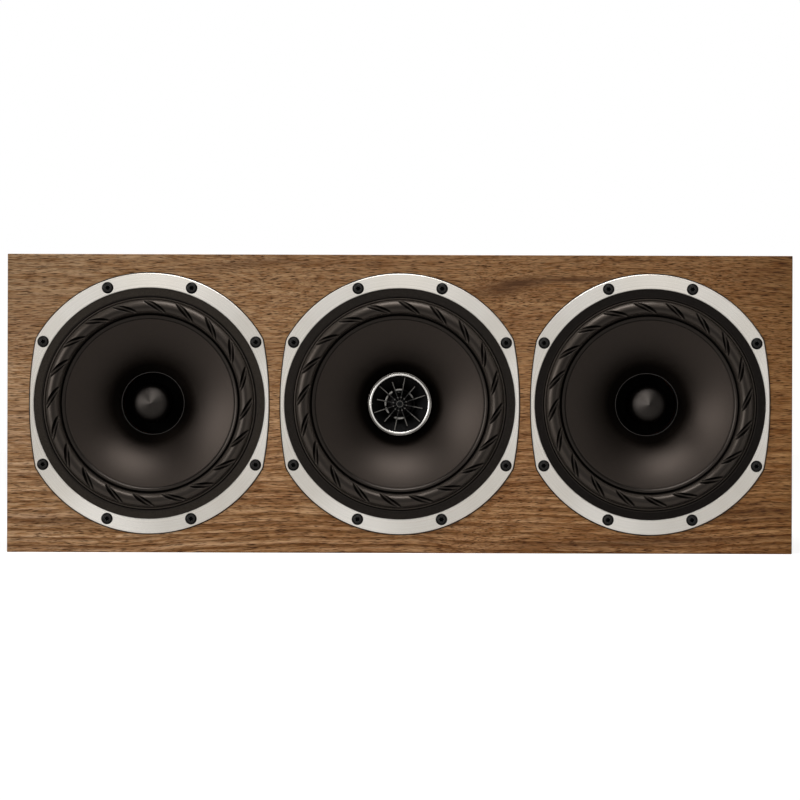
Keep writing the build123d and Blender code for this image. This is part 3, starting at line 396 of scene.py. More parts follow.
def pressed_pulp(side):
    """Coated paper: gives the eye a dark brown satin with a faint felt of fibres, and a matt, glued neck.
    The fibres are drawn 1.4 mm long."""
    warm = linear("#ffe8d8")
    material, tree, shader = new_material(side + "_pressed_pulp_coated", Roughness=0.46, Specular_Tint=warm)
    span = {"From Min": GLUED_RADIUS / 1000, "From Max": COATED_RADIUS / 1000, "To Min": 0.06, "To Max": 0.44}
    sheen = node(tree, "MapRange", {"Value": from_axis(tree, side)} | span).outputs[0]
    tree.links.new(sheen, shader.inputs["Specular IOR Level"])
    place = node(tree, "TexCoord").outputs["Object"]
    felt = {"Vector": place, "Scale": FIBRES_PER_METRE, "Detail": 4.0, "Distortion": 1.0}
    fibre = node(tree, "TexNoise", felt).outputs["Fac"]
    tint = [(0.35, "#0b0807"), (0.65, "#130f0c")]
    tint = node(tree, "ValToRGB", {"Fac": fibre}, tint).outputs["Color"]
    tree.links.new(tint, shader.inputs["Base Color"])
    height = node(tree, "Bump", {"Height": fibre, "Strength": 0.2, "Distance": 0.0002})
    tree.links.new(height.outputs["Normal"], shader.inputs["Normal"])
    return material


cone_centre = (
    CONE_EDGE_RADIUS + CONE_ARC * math.sin(math.radians(CONE_EDGE_ANGLE)),
    CONE_RIM_FRONT - CONE_ARC * math.cos(math.radians(CONE_EDGE_ANGLE)),
)
cone_bend = (90 + CONE_EDGE_ANGLE, 90 + CONE_NECK_ANGLE)
cone_front = arc(cone_centre, CONE_ARC, *cone_bend, 60)
cone_rear = arc(cone_centre, CONE_ARC - CONE_THICKNESS, *cone_bend[::-1], 60)
cone_rear[0, 0] = CONE_NECK_RADIUS
cone_rim = np.array([[CONE_RIM_RADIUS, CONE_RIM_FRONT - CONE_THICKNESS], [CONE_RIM_RADIUS, CONE_RIM_FRONT]])
for side in SIDES:
    section = np.concatenate([cone_front, cone_rear, cone_rim])
    cone = skin(side + "_pulp_cone", turned(side, section[:, None, :], round_the_axis(192)))
    cone.data.materials.append(pressed_pulp(side))
    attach(cone, side + "_diaphragm")
    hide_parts(side + "_cone")


# Surrounds. Moulded black nitrile rubber: a half-round roll between a lip at the gasket and one on the cone.
# Twenty slanted grooves across the roll keep its skin from creasing as it flexes.
# A bead runs round outside the roll and a narrow gutter inside it.
SURROUND_SKIN = 0.9
LIP_FRONT = -1.6
LIP_RADIUS = 115.3
GASKET_BORE = 108.3
CREASE = 0.7
BEAD_OUTER_RADIUS = 106.4
BEAD_INNER_RADIUS = 104.5
BEAD_HEIGHT = 1.0
ROLL_OUTER_RADIUS = 104.0
ROLL_INNER_RADIUS = 91.0
INNER_LIP_FRONT = -5.1
INNER_LIP_RADIUS = 84.5
INNER_LIP_FALL = 0.8
GUTTER_FLOOR = -7.0
GUTTER_INNER_RADIUS = 88.7
FILLET = 1.2
LIP_ROUND = 0.7
GROOVES = 20
GROOVE_SLANT = 32.0
GROOVE_DEPTH = 4.3
GROOVE_HALF_FLOOR = 0.7
GROOVE_STEEPNESS = 1.75
GROOVE_EDGE = 0.25
SURROUND_TURN = {"left": 14.6, "center": 12.4, "right": 3.0}


def groove_columns():
    """Distances across one pitch of the grooves, in mm, close together at the floor and mouth edges."""
    half_pitch = math.pi / GROOVES * roll_middle * math.sin(math.radians(GROOVE_SLANT))
    fine = np.array([0.0, 0.4, 0.6, 0.7, 0.85, 1.1, 1.5, 1.9, 2.3, 2.6, 2.85, 3.05, 3.2, 3.4, 4.0, 5.0, 6.6])
    return np.concatenate([-fine[:0:-1], fine, [half_pitch]])


def ribbed_roll(side, section):
    """The section turned round, its columns slanted along the grooves: t = v + ln(r / middle) / tan(slant).
    A point's height is the lower of the plain roll and the groove, whose flanks rise evenly from its floor.
    Gives the turns, how far each point is sunk, and 1 where it lies on a flank."""
    slant = math.radians(GROOVE_SLANT)
    across = groove_columns()
    pitch = FULL_TURN / GROOVES
    start = math.radians(SURROUND_TURN[side]) + pitch * np.arange(GROOVES)
    columns = (start[:, None] + across / (roll_middle * math.sin(slant))).ravel()
    across = np.tile(across, GROOVES)
    radius, height = section[:, 0], section[:, 1]
    turns = columns + (np.log(radius / roll_middle) / math.tan(slant))[:, None]
    crest = LIP_FRONT + roll_radius
    groove = crest - GROOVE_DEPTH + GROOVE_STEEPNESS * np.maximum(np.abs(across) - GROOVE_HALF_FLOOR, 0)
    gap = groove[None, :] - height[:, None]
    eased = np.maximum(GROOVE_EDGE - np.abs(gap), 0) ** 2 / (4 * GROOVE_EDGE)
    lower = np.minimum(gap, 0) - eased
    on_roll = (radius > ROLL_INNER_RADIUS) & (radius < ROLL_OUTER_RADIUS) & (height > LIP_FRONT)
    sunk = np.where(on_roll[:, None], lower, 0)
    flank = (sunk < -GROOVE_EDGE) & (np.abs(across) > GROOVE_HALF_FLOOR)
    return turns, sunk, flank.astype(np.float32)


def nitrile(side):
    """Moulded rubber: gives the eye a warm black with a soft sheen on the roll, the bead and the lip.
    The flanks of the roll are painted lighter than its crest and lip, and the slope by the gasket darker, as
    light and shade. The grooves' flanks, the gap by the gasket and the gutter are painted dark and less
    glossy, as shade."""
    warm = linear("#ffecde")
    name = side + "_nitrile_rubber_moulded"
    material, tree, shader = new_material(name, Roughness=0.35, Specular_Tint=warm)
    place = node(tree, "TexCoord").outputs["Object"]
    grain = node(tree, "TexNoise", {"Vector": place, "Scale": 1500.0, "Detail": 2.0}).outputs["Fac"]
    span = {"From Min": INNER_LIP_RADIUS / 1000, "From Max": LIP_RADIUS / 1000}
    outwards = node(tree, "MapRange", {"Value": from_axis(tree, side)} | span).outputs[0]
    edges = (GUTTER_INNER_RADIUS, ROLL_INNER_RADIUS, BEAD_OUTER_RADIUS)
    gutter, roll, gap = [(edge - INNER_LIP_RADIUS) / (LIP_RADIUS - INNER_LIP_RADIUS) for edge in edges]
    # Painted shade: the dark stops darken the gutter and the gap by the gasket to black and take away their
    # sheen.
    unshaded, glued = "#ffffff", "#000000"
    parts = [(gutter - 0.02, unshaded), (gutter + 0.01, glued), (roll - 0.035, glued), (roll + 0.005, unshaded)]
    parts += [(gap - 0.01, unshaded), (gap + 0.003, glued), (gap + 0.013, glued), (gap + 0.03, unshaded)]
    bare = node(tree, "ValToRGB", {"Fac": outwards}, parts).outputs["Color"]
    tint = node(tree, "ValToRGB", {"Fac": grain}, [(0.35, "#2b2622"), (0.65, "#35302b")]).outputs["Color"]
    # Painted light and shade: the roll's flanks are lighter than its crest and the lip, and the slope past
    # the bead is nearly black.
    painted_roll_light = (
        (GUTTER_INNER_RADIUS, "#7a7a7a"),
        (ROLL_INNER_RADIUS, "#ffffff"),
        (roll_middle - 4, "#ffffff"),
        (roll_middle - 1.5, "#7a7a7a"),
        (roll_middle + 0.3, "#7a7a7a"),
        (roll_middle + 2, "#ffffff"),
        (BEAD_OUTER_RADIUS - 0.4, "#ffffff"),
        (BEAD_OUTER_RADIUS + 0.2, "#101010"),
    )
    painted_roll_light = [((edge - INNER_LIP_RADIUS) / (LIP_RADIUS - INNER_LIP_RADIUS), shade) for edge, shade in painted_roll_light]
    painted_roll_light = node(tree, "ValToRGB", {"Fac": outwards}, painted_roll_light).outputs["Color"]
    # Painted shade: the grooves' flanks are darkened and lose their sheen.
    flank = node(tree, "Attribute", attribute_name="flank").outputs["Fac"]
    dull = node(tree, "ValToRGB", {"Fac": flank}, [(0.0, "#ffffff"), (1.0, "#666666")]).outputs["Color"]
    for painted_light in (bare, painted_roll_light, dull):
        both = {"Fac": 1.0, "Color1": tint, "Color2": painted_light}
        tint = node(tree, "MixRGB", both, blend_type="MULTIPLY").outputs["Color"]
    tree.links.new(tint, shader.inputs["Base Color"])
    outside_painted_shade = node(tree, "Math", {0: bare, 1: dull}, operation="MULTIPLY").outputs[0]
    sheen = node(tree, "MapRange", {"Value": outside_painted_shade, "To Min": 0.03, "To Max": 0.33}).outputs[0]
    tree.links.new(sheen, shader.inputs["Specular IOR Level"])
    height = node(tree, "Bump", {"Height": grain, "Strength": 0.1, "Distance": 0.0001})
    tree.links.new(height.outputs["Normal"], shader.inputs["Normal"])
    return material


roll_middle = (ROLL_OUTER_RADIUS + ROLL_INNER_RADIUS) / 2
roll_radius = (ROLL_OUTER_RADIUS - ROLL_INNER_RADIUS) / 2
bead_middle = (BEAD_OUTER_RADIUS + BEAD_INNER_RADIUS) / 2
bead = arc((bead_middle, LIP_FRONT), 1.0, 0, 180, 9)
bead[:, 0] = bead_middle + (bead[:, 0] - bead_middle) * (BEAD_OUTER_RADIUS - BEAD_INNER_RADIUS) / 2
bead[:, 1] = LIP_FRONT + (bead[:, 1] - LIP_FRONT) * BEAD_HEIGHT
foot = (ROLL_INNER_RADIUS - FILLET, GUTTER_FLOOR + FILLET)
surround_front = np.concatenate(
    [
        [[LIP_RADIUS, LIP_FRONT], [GASKET_BORE + 0.3, LIP_FRONT], [GASKET_BORE - 0.1, LIP_FRONT - 0.1]],
        [[BEAD_OUTER_RADIUS + 0.2, LIP_FRONT - CREASE]],
        bead,
        [[BEAD_INNER_RADIUS - 0.1, LIP_FRONT - CREASE], [ROLL_OUTER_RADIUS + 0.1, LIP_FRONT - CREASE]],
        arc((roll_middle, LIP_FRONT), roll_radius, 0, 180, 41),
        [[ROLL_INNER_RADIUS, INNER_LIP_FRONT]],
        arc(foot, FILLET, 0, -90, 6),
        [[GUTTER_INNER_RADIUS + 0.5, GUTTER_FLOOR]],
        arc((GUTTER_INNER_RADIUS - LIP_ROUND, INNER_LIP_FRONT - LIP_ROUND), LIP_ROUND, 0, 90, 6),
        [[INNER_LIP_RADIUS, INNER_LIP_FRONT - INNER_LIP_FALL]],
    ]
)
along = np.gradient(surround_front, axis=0)
along /= np.linalg.norm(along, axis=1)[:, None]
outward = np.stack([along[:, 1], -along[:, 0]], 1)
surround_rear = surround_front - SURROUND_SKIN * outward
for side in SIDES:
    turns, sunk, flank = ribbed_roll(side, surround_front)
    section = np.concatenate([surround_front, surround_rear[::-1]])
    section = section[:, None, :] + np.zeros((1, turns.shape[1], 1))
    section[..., 1] += np.concatenate([sunk, sunk[::-1]])
    roll = skin(side + "_ribbed_surround", turned(side, section, np.concatenate([turns, turns[::-1]])))
    flanks = roll.data.attributes.new("flank", "FLOAT", "POINT")
    flanks.data.foreach_set("value", np.concatenate([flank, flank[::-1]]).ravel())
    roll.data.materials.append(nitrile(side))
    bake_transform(roll)
    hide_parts(side + "_surround")


# Gaskets. A flat ring of black foam cut from sheet, which presses the surround's lip on the basket's flange.
# Painted light and shade: the same foam is tinted lighter on the left driver and darker on the right, as the
# light from the left falls off.
FOAM_PAINTED_LIGHT = {
    "left": ("#24201c", "#302b26"),
    "center": ("#1b1815", "#25211e"),
    "right": ("#14110f", "#1c1917"),
}
for side in SIDES:
    foam = grainy(side + "_black_foam_cut", *FOAM_PAINTED_LIGHT[side], 0.9, 0.4, **dull)
    dress(foam, side + "_gasket")


# Trim rings. Aluminium turned on a lathe and clear anodised, with straight chamfers and bowed sides.
# Each lies in a shallow rebate of the front board, over its driver's flange, and eight screws hold both.
# The tool's real feed is 0.1 mm a turn. Its rings are drawn 1.2 mm apart, so that they show at a step away.
RING_FEED = 1.2
BLASTED_FROM, BLASTED_TO = 0.00005, 0.0002
SHADED_FROM, SHADED_TO = 0.0003, 0.0006


def turned_aluminium(side):
    """Lathe-turned aluminium: gives the eye fine rings about the driver's axis and a highlight fanned across,
    from the sheen and also painted into the colour.
    The chamfers are blasted, so whiter and duller than the face, and painted dark at the foot, as the
    rebate's shade."""
    name = side + "_turned_aluminium"
    material, tree, shader = new_material(name, Metallic=1.0, Roughness=0.27, Anisotropic=0.8)
    radius = from_axis(tree, side)
    feed = node(tree, "Math", {0: radius, 1: 1000 / RING_FEED}, operation="MULTIPLY").outputs[0]
    look = {"W": feed, "Scale": 1.0, "Detail": 2.0}
    rings = node(tree, "TexNoise", look, noise_dimensions="1D").outputs["Fac"]
    tint = node(tree, "ValToRGB", {"Fac": rings}, [(0.3, "#e3ded6"), (0.7, "#ece7df")]).outputs["Color"]
    heading = node(tree, "VectorMath", {0: across_axis(tree, side)}, operation="NORMALIZE").outputs[0]
    # Painted highlight: the colour is lighter and darker in broad sectors round the axis, as a fanned
    # reflection.
    painted_fan = node(tree, "TexNoise", {"Vector": heading, "Scale": 1.6}).outputs["Fac"]
    painted_fan = node(tree, "ValToRGB", {"Fac": painted_fan}, [(0.35, "#f2f0ed"), (0.65, "#ffffff")]).outputs["Color"]
    depth = node(tree, "SeparateXYZ", {0: node(tree, "TexCoord").outputs["Object"]}).outputs["Y"]
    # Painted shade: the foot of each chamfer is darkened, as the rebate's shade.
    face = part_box(side + "_trim_ring")[0].y
    span = {"From Min": face + SHADED_FROM, "From Max": face + SHADED_TO}
    foot = node(tree, "MapRange", {"Value": depth} | span).outputs[0]
    foot = node(tree, "ValToRGB", {"Fac": foot}, [(0.0, "#ffffff"), (1.0, "#4a4744")]).outputs["Color"]
    for shade in (painted_fan, foot):
        both = {"Fac": 1.0, "Color1": tint, "Color2": shade}
        tint = node(tree, "MixRGB", both, blend_type="MULTIPLY").outputs["Color"]
    tree.links.new(tint, shader.inputs["Base Color"])
    span = {"From Min": face + BLASTED_FROM, "From Max": face + BLASTED_TO, "To Min": 1.0, "To Max": 0.15}
    tree.links.new(node(tree, "MapRange", {"Value": depth} | span).outputs[0], shader.inputs["Metallic"])
    height = node(tree, "Bump", {"Height": rings, "Strength": 0.05, "Distance": 0.0001})
    tree.links.new(height.outputs["Normal"], shader.inputs["Normal"])
    tangent = node(tree, "Tangent", direction_type="RADIAL", axis="Y")
    tree.links.new(tangent.outputs["Tangent"], shader.inputs["Tangent"])
    return material


for side in SIDES:
    dress(turned_aluminium(side), side + "_trim_ring")


# Screws and inserts. Button-head screws of black-oxide steel with six-lobe sockets, eight to a driver.
# They go through the ring and the flange into brass inserts pressed into the front board.
SCREW_CIRCLE_RADIUS = 123.0
SCREW_ANGLES = np.radians([30, 70, 110, 150, 210, 250, 290, 330])
SCREW_RADIUS = 3.0
HEAD_RADIUS = 5.5
HEAD_TOP = 3.0
HEAD_RIM = 0.6
SOCKET_RADIUS = 2.2
SOCKET_LOBE = 0.35
SOCKET_FLOOR = 1.0


def black_oxide(name):
    """Blackened steel: gives the eye a grey top, a painted highlight, between a black rim and a black socket.
    """
    material, tree, shader = new_material(name, Roughness=0.3)
    place = node(tree, "TexCoord").outputs["Object"]
    speck = node(tree, "TexNoise", {"Vector": place, "Scale": 1400.0}).outputs["Fac"]
    depth = node(tree, "SeparateXYZ", {0: place}).outputs["Y"]
    top = FRONT_Y - HEAD_TOP / 1000
    span = {"From Min": top + 0.0006, "From Max": top + 0.0002}
    lifted = node(tree, "MapRange", {"Value": depth} | span).outputs[0]
    # Painted highlight: the top of the head is painted lighter grey, as the reflection it catches, and the
    # rim stays black.
    painted_light = node(tree, "Math", {0: speck, 1: lifted}, operation="MULTIPLY").outputs[0]
    tint = [(0.0, "#030303"), (0.6, "#1f1d1b")]
    tree.links.new(node(tree, "ValToRGB", {"Fac": painted_light}, tint).outputs["Color"], shader.inputs["Base Color"])
    sheen = node(tree, "MapRange", {"Value": lifted, "To Min": 0.02, "To Max": 0.2}).outputs[0]
    tree.links.new(sheen, shader.inputs["Specular IOR Level"])
    return material


def button_head():
    """A screw about its own axis: rows of radius and height, from the socket over the dome to the end.
    The dome falls with the eighth power of the radius, and the socket's wall waves six times round."""
    turns = round_the_axis(60)
    wall = SOCKET_RADIUS + SOCKET_LOBE * np.cos(6 * turns)
    share = np.linspace(0, 1, 12)[:, None]
    across = wall + (HEAD_RADIUS - wall) * share
    dome = HEAD_TOP - (HEAD_TOP - HEAD_RIM) * (across / HEAD_RADIUS) ** 8
    tip = (FRONT_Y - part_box("driver_screws")[1].y) * 1000
    behind = np.array([[HEAD_RADIUS, 0], [SCREW_RADIUS, 0], [SCREW_RADIUS, tip], [0, tip]])[:, None, :]
    behind = behind + np.zeros((1, len(turns), 1))
    radius = np.concatenate([[0 * wall, wall], across, behind[..., 0]]) / 1000
    height = np.concatenate([[0 * wall + SOCKET_FLOOR] * 2, dome, behind[..., 1]]) / 1000
    return np.stack([radius * np.cos(turns), FRONT_Y - height, radius * np.sin(turns)], -1)


ring_places = np.stack([np.cos(SCREW_ANGLES), 0 * SCREW_ANGLES, np.sin(SCREW_ANGLES)], 1)
ring_places = SCREW_CIRCLE_RADIUS / 1000 * ring_places
screw_places = np.concatenate([ring_places + (axis(side)[0], 0, axis(side)[1]) for side in SIDES])
screws = skin("button_head_screws", button_head(), False, 50, screw_places)
screws.data.materials.append(black_oxide("black_oxide_steel"))
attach(screws, "cabinet")
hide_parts("driver_screws")
brass = grainy("turned_brass", "#a8823e", "#c9a45c", 0.8, 0.1, Metallic=1.0, Roughness=0.35)
dress(brass, "threaded_inserts")


# Phase plugs. Solid aluminium turned to a point and anodised black, pressed into the outer drivers' poles.
PLUG_TIP = -13.0
PLUG_TIP_SLOPE = 0.62
PLUG_RADIUS = 20.0
PLUG_DROP = 22.1
POLE_FRONT = -77.81
SPIGOT_RADIUS = 7.9
# The turned rings are drawn 0.8 mm apart, so that they show.
PLUG_FEED = 0.8


def anodised_black(side):
    """Black anodised turning: gives the eye a highlight fanned from the tip, and a colour painted lighter at
    the tip and black down the flank, as light and shade.
    """
    name = side + "_black_anodised_aluminium"
    material, tree, shader = new_material(name, Metallic=1.0, Roughness=0.5, Anisotropic=0.5)
    radius = from_axis(tree, side)
    outwards = node(tree, "MapRange", {"Value": radius, "From Max": PLUG_RADIUS / 1000}).outputs[0]
    feed = node(tree, "Math", {0: radius, 1: 1000 / PLUG_FEED}, operation="MULTIPLY").outputs[0]
    look = {"W": feed, "Scale": 1.0, "Detail": 2.0}
    rings = node(tree, "TexNoise", look, noise_dimensions="1D").outputs["Fac"]
    # Painted light and shade: the tint is lighter near the tip, where light falls, and black down the flank.
    tint = [(0.0, "#423e3b"), (0.55, "#403c39"), (0.78, "#2a2725"), (0.97, "#080707")]
    tint = node(tree, "ValToRGB", {"Fac": outwards}, tint).outputs["Color"]
    shade = [(0.3, "#e6e6e6"), (0.7, "#ffffff")]
    shade = node(tree, "ValToRGB", {"Fac": rings}, shade).outputs["Color"]
    both = {"Fac": 1.0, "Color1": tint, "Color2": shade}
    tint = node(tree, "MixRGB", both, blend_type="MULTIPLY").outputs["Color"]
    tree.links.new(tint, shader.inputs["Base Color"])
    tangent = node(tree, "Tangent", direction_type="RADIAL", axis="Y")
    tree.links.new(tangent.outputs["Tangent"], shader.inputs["Tangent"])
    return material


def nose(radius):
    """The nose's height at a radius: it falls evenly from the tip, then steeply, with the sixteenth power."""
    shoulder = PLUG_DROP - PLUG_TIP_SLOPE * PLUG_RADIUS
    return PLUG_TIP - PLUG_TIP_SLOPE * radius - shoulder * (radius / PLUG_RADIUS) ** 16


spigot_end = (FRONT_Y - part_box("left_phase_plug")[1].y) * 1000
nose_radius = np.linspace(0, PLUG_RADIUS, 48)
plug_section = np.concatenate(
    [
        np.stack([nose_radius, nose(nose_radius)], 1),
        [[PLUG_RADIUS, POLE_FRONT], [SPIGOT_RADIUS, POLE_FRONT]],
        [[SPIGOT_RADIUS, spigot_end], [0.0, spigot_end]],
    ]
)
for side in ("left", "right"):
    plug = skin(side + "_turned_plug", turned(side, plug_section[:, None, :], round_the_axis(128)), False, 40)
    plug.data.materials.append(anodised_black(side))
    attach(plug, "cabinet")
    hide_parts(side + "_phase_plug")


# Tweeter. A black moulded horn on the middle driver's pole, closed behind by a metal dome and its motor.
# A plug of twelve thin fins spreads the sound. A polished bezel is pressed round the horn's mouth.
satin = {"Roughness": 0.5, "Specular_IOR_Level": 0.08}
dress(grainy("abs_moulded_black", "#040404", "#090808", 0.8, 0.2, **satin), "tweeter_housing")
FIN_FRONT = -36.41
FIN_EDGE = 0.5
PIN_CIRCLE_INNER = 5.0
PIN_CIRCLE_OUTER = 8.0
HUB_RADIUS = 3.4
HUB_RIM = 0.7
BEZEL_OUTER_RADIUS = 32.1


def abs_fins(name):
    """Moulded black fins: grey front edges, darker towards the pins, pale pin heads and a pale hub rim, all
    painted highlights.
    """
    material, tree, shader = new_material(name, Roughness=0.4, Specular_IOR_Level=0.2)
    place = node(tree, "TexCoord").outputs["Object"]
    depth = node(tree, "SeparateXYZ", {0: place}).outputs["Y"]
    front = FRONT_Y - FIN_FRONT / 1000
    span = {"From Min": front + FIN_EDGE / 1000, "From Max": front + 0.0001}
    edge = node(tree, "MapRange", {"Value": depth} | span).outputs[0]
    span = {"From Min": front - 0.0002, "From Max": front - 0.0006}
    head = node(tree, "MapRange", {"Value": depth} | span).outputs[0]
    reach = BEZEL_OUTER_RADIUS
    radius = from_axis(tree, "center")
    outwards = node(tree, "MapRange", {"Value": radius, "From Max": reach / 1000}).outputs[0]
    # Painted highlights: the fins' front edges are grey, brighter outwards, and the pin heads and the hub rim
    # are pale.
    edge_highlight = [(PIN_CIRCLE_OUTER / reach, "#000000"), (PIN_CIRCLE_OUTER / reach + 0.02, "#303030")]
    edge_highlight += [(0.4, "#505050"), (0.55, "#b0b0b0"), (1.0, "#c0c0c0")]
    rim_highlight = [((HUB_RADIUS - HUB_RIM) / reach, "#000000"), ((HUB_RADIUS - HUB_RIM) / reach + 0.01, "#b0b0b0")]
    rim_highlight += [(PIN_CIRCLE_INNER / reach, "#b0b0b0"), (PIN_CIRCLE_INNER / reach + 0.01, "#9a9a9a")]
    edge_highlight = node(tree, "ValToRGB", {"Fac": outwards}, edge_highlight).outputs["Color"]
    rim_highlight = node(tree, "ValToRGB", {"Fac": outwards}, rim_highlight).outputs["Color"]
    edge = node(tree, "Math", {0: edge, 1: edge_highlight}, operation="MULTIPLY").outputs[0]
    head = node(tree, "Math", {0: head, 1: rim_highlight}, operation="MULTIPLY").outputs[0]
    lit = node(tree, "Math", {0: edge, 1: head}, operation="MAXIMUM").outputs[0]
    tint = [(0.0, "#050505"), (1.0, "#85817b")]
    tree.links.new(node(tree, "ValToRGB", {"Fac": lit}, tint).outputs["Color"], shader.inputs["Base Color"])
    return material


dress(abs_fins("abs_moulded_fins"), "tweeter_fin_plug")
BEZEL_INNER_RADIUS = 28.6
BEZEL_FRONT = -31.21
BEZEL_BACK = -35.21
BEZEL_LIP = 30.8
BEZEL_ROUND = 0.6
BEZEL_BEAD_RADIUS = 31.3


def polished_chrome(name):
    """Plated ring: gives the eye a bright inner roll, and a groove and bead outside it painted darker, as
    shade.
    """
    material, tree, shader = new_material(name, Metallic=1.0, Roughness=0.2)
    radius = from_axis(tree, "center")
    span = {"From Min": (BEZEL_LIP - 0.5) / 1000, "From Max": BEZEL_LIP / 1000}
    outside = node(tree, "MapRange", {"Value": radius} | span).outputs[0]
    # Painted shade: the groove and bead outside the lip are tinted darker than the roll.
    tint = [(0.0, "#ece8e2"), (1.0, "#7d7974")]
    tint = node(tree, "ValToRGB", {"Fac": outside}, tint).outputs["Color"]
    tree.links.new(tint, shader.inputs["Base Color"])
    return material


bezel_roll = (BEZEL_LIP - BEZEL_INNER_RADIUS) / 2
bezel_bead = (BEZEL_OUTER_RADIUS - BEZEL_BEAD_RADIUS) / 2
bezel_face = arc((BEZEL_INNER_RADIUS + bezel_roll, 0), bezel_roll, 180, 0, 25)
bezel_face[:, 1] = BEZEL_FRONT - BEZEL_ROUND * (bezel_roll - bezel_face[:, 1])
bezel_section = np.concatenate(
    [
        [[BEZEL_INNER_RADIUS, BEZEL_BACK]],
        bezel_face,
        [[BEZEL_LIP, BEZEL_FRONT - 2.4], [BEZEL_BEAD_RADIUS, BEZEL_FRONT - 2.4]],
        arc((BEZEL_OUTER_RADIUS - bezel_bead, BEZEL_FRONT - 1.0), bezel_bead, 180, 0, 11),
        [[BEZEL_OUTER_RADIUS, BEZEL_BACK]],
    ]
)
bezel = skin("polished_bezel", turned("center", bezel_section[:, None, :], round_the_axis(192)), True, 50)
bezel.data.materials.append(polished_chrome("polished_chrome"))
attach(bezel, "cabinet")
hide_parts("tweeter_bezel")


DOME_BASE = -48.21
DOME_RADIUS = 12.0
DOME_RISE = 4.0
THROAT_RADIUS = 17.0
DOME_RIM_RADIUS = 19.8
DOME_THICKNESS = 0.5
ROLL_RISE = 1.3
# Each painted highlight is its middle, x and height from the axis, its half length, half width, tilt and
# strength.
ROLL_HIGHLIGHTS_PAINTED = (
    (-1, 14.2, 4.5, 2.6, 5, 1.0),
    (-9.4, 11.2, 2.6, 2.2, 45, 1.0),
    (-13.6, 3.4, 6.5, 1.9, 78, 0.8),
    (-12.8, -6.4, 3.6, 2.0, 118, 0.8),
    (-0.6, -14.2, 6.0, 2.2, 2, 1.0),
    (11.4, 8.6, 4.0, 1.2, 127, 0.5),
)


def pressed_titanium(name):
    """Thin metal: a dark dome inside a dark roll, with bright patches painted on the roll as highlights."""
    material, tree, shader = new_material(name, Metallic=1.0, Roughness=0.3)
    place = node(tree, "TexCoord").outputs["Object"]
    cx, cz = axis("center")
    bright = 0.0
    # Painted highlights: bright patches on the roll, where lamps would reflect.
    for x, z, *outline, strength in ROLL_HIGHLIGHTS_PAINTED:
        patch = spot(tree, place, cx * 1000 + x, cz * 1000 + z, *outline)
        sharp = node(tree, "MapRange", {"Value": patch, "From Max": 0.35, "To Max": strength}).outputs[0]
        bright = node(tree, "Math", {0: sharp, 1: bright}, operation="MAXIMUM").outputs[0]
    tint = [(0.0, "#0e0d0d"), (1.0, "#a8a49e")]
    tint = node(tree, "ValToRGB", {"Fac": bright}, tint).outputs["Color"]
    tree.links.new(tint, shader.inputs["Base Color"])
    return material


dome_turn = np.linspace(0, 1, 16)[:, None]
dome_face = np.concatenate([dome_turn * DOME_RADIUS, DOME_BASE + DOME_RISE * (1 - dome_turn**2)], 1)
roll_turn = np.linspace(0, 1, 16)[1:, None]
roll_across = DOME_RADIUS + (THROAT_RADIUS - DOME_RADIUS) * roll_turn
roll_face = np.concatenate([roll_across, DOME_BASE + ROLL_RISE * np.sin(math.pi * roll_turn)], 1)
dome_front = np.concatenate([dome_face, roll_face, [[DOME_RIM_RADIUS, DOME_BASE]]])
dome_section = np.concatenate([dome_front, dome_front[::-1] - (0, DOME_THICKNESS)])
dome = skin("pressed_dome", turned("center", dome_section[:, None, :], round_the_axis(128)), False)
dome.data.materials.append(pressed_titanium("pressed_titanium"))
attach(dome, "cabinet")
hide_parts("tweeter_diaphragm")


# Terminals. A moulded plate screwed over a hole in the rear board, with two gold-plated binding posts.
# Each post has a washer and a fluted thumb nut, red for plus and black for minus.
worn_steel = {"Metallic": 0.5, "Roughness": 0.4}
dress(grainy("black_oxide_rear_screws", "#161514", "#242220", 0.7, 0.2, **worn_steel), "terminal_screws")
plate_black = grainy("nylon_moulded_black", "#141414", "#1f1f1f", 1.0, 0.4, Roughness=0.5)
dress(plate_black, "terminal_plate")
gold = grainy("gold_plated_brass", "#c99b45", "#e0b866", 1.5, 0.05, Metallic=1.0, Roughness=0.22)
dress(gold, "red_post", "black_post", "red_washer", "black_washer")
red = grainy("nylon_moulded_red", "#8c1a16", "#a3231d", 1.2, 0.15, Roughness=0.4)
dress(red, "red_nut")
black = grainy("nylon_moulded_nut_black", "#171717", "#222222", 1.2, 0.15, Roughness=0.4)
dress(black, "black_nut")


# Crossover and wiring. A plywood board on the rear board's inside carries the parts that split the sound.
# Leads in soft black jackets run from the terminals to the board and on to the drivers.
dress(birch, "crossover_board")
film = grainy("shrink_film_yellow", "#b8862c", "#c99a3e", 2.0, 0.1, Roughness=0.35)
enamel = grainy("enamelled_copper", "#8f4a26", "#b5683a", 0.9, 0.4, Metallic=0.9, Roughness=0.35)
ceramic = grainy("cast_ceramic_white", "#d3cfc6", "#e4e0d8", 1.2, 0.3, Roughness=0.8)
pvc = grainy("soft_pvc_black", "#161616", "#232323", 1.0, 0.2, Roughness=0.45)
dress(film, "crossover_capacitor")
dress(enamel, "crossover_inductor")
dress(ceramic, "crossover_resistor")
dress(pvc, "wiring_harness")


# Studio. A white floor, white all round, a soft lamp on the left, one above and a weak one on the right.
# The camera stands 3.3 m in front, level with the middle of the speaker, through a long lens.
def lamp(name, place, aim, size, power):
    """A square lamp turned to face the aim."""
    light = bpy.data.lights.new(name, "AREA")
    light.size = size
    light.energy = power
    made = bpy.data.objects.new(name, light)
    bpy.context.scene.collection.objects.link(made)
    made.location = place
    back = type(made.location)(place) - type(made.location)(aim)
    made.rotation_euler = back.to_track_quat("Z", "Y").to_euler()


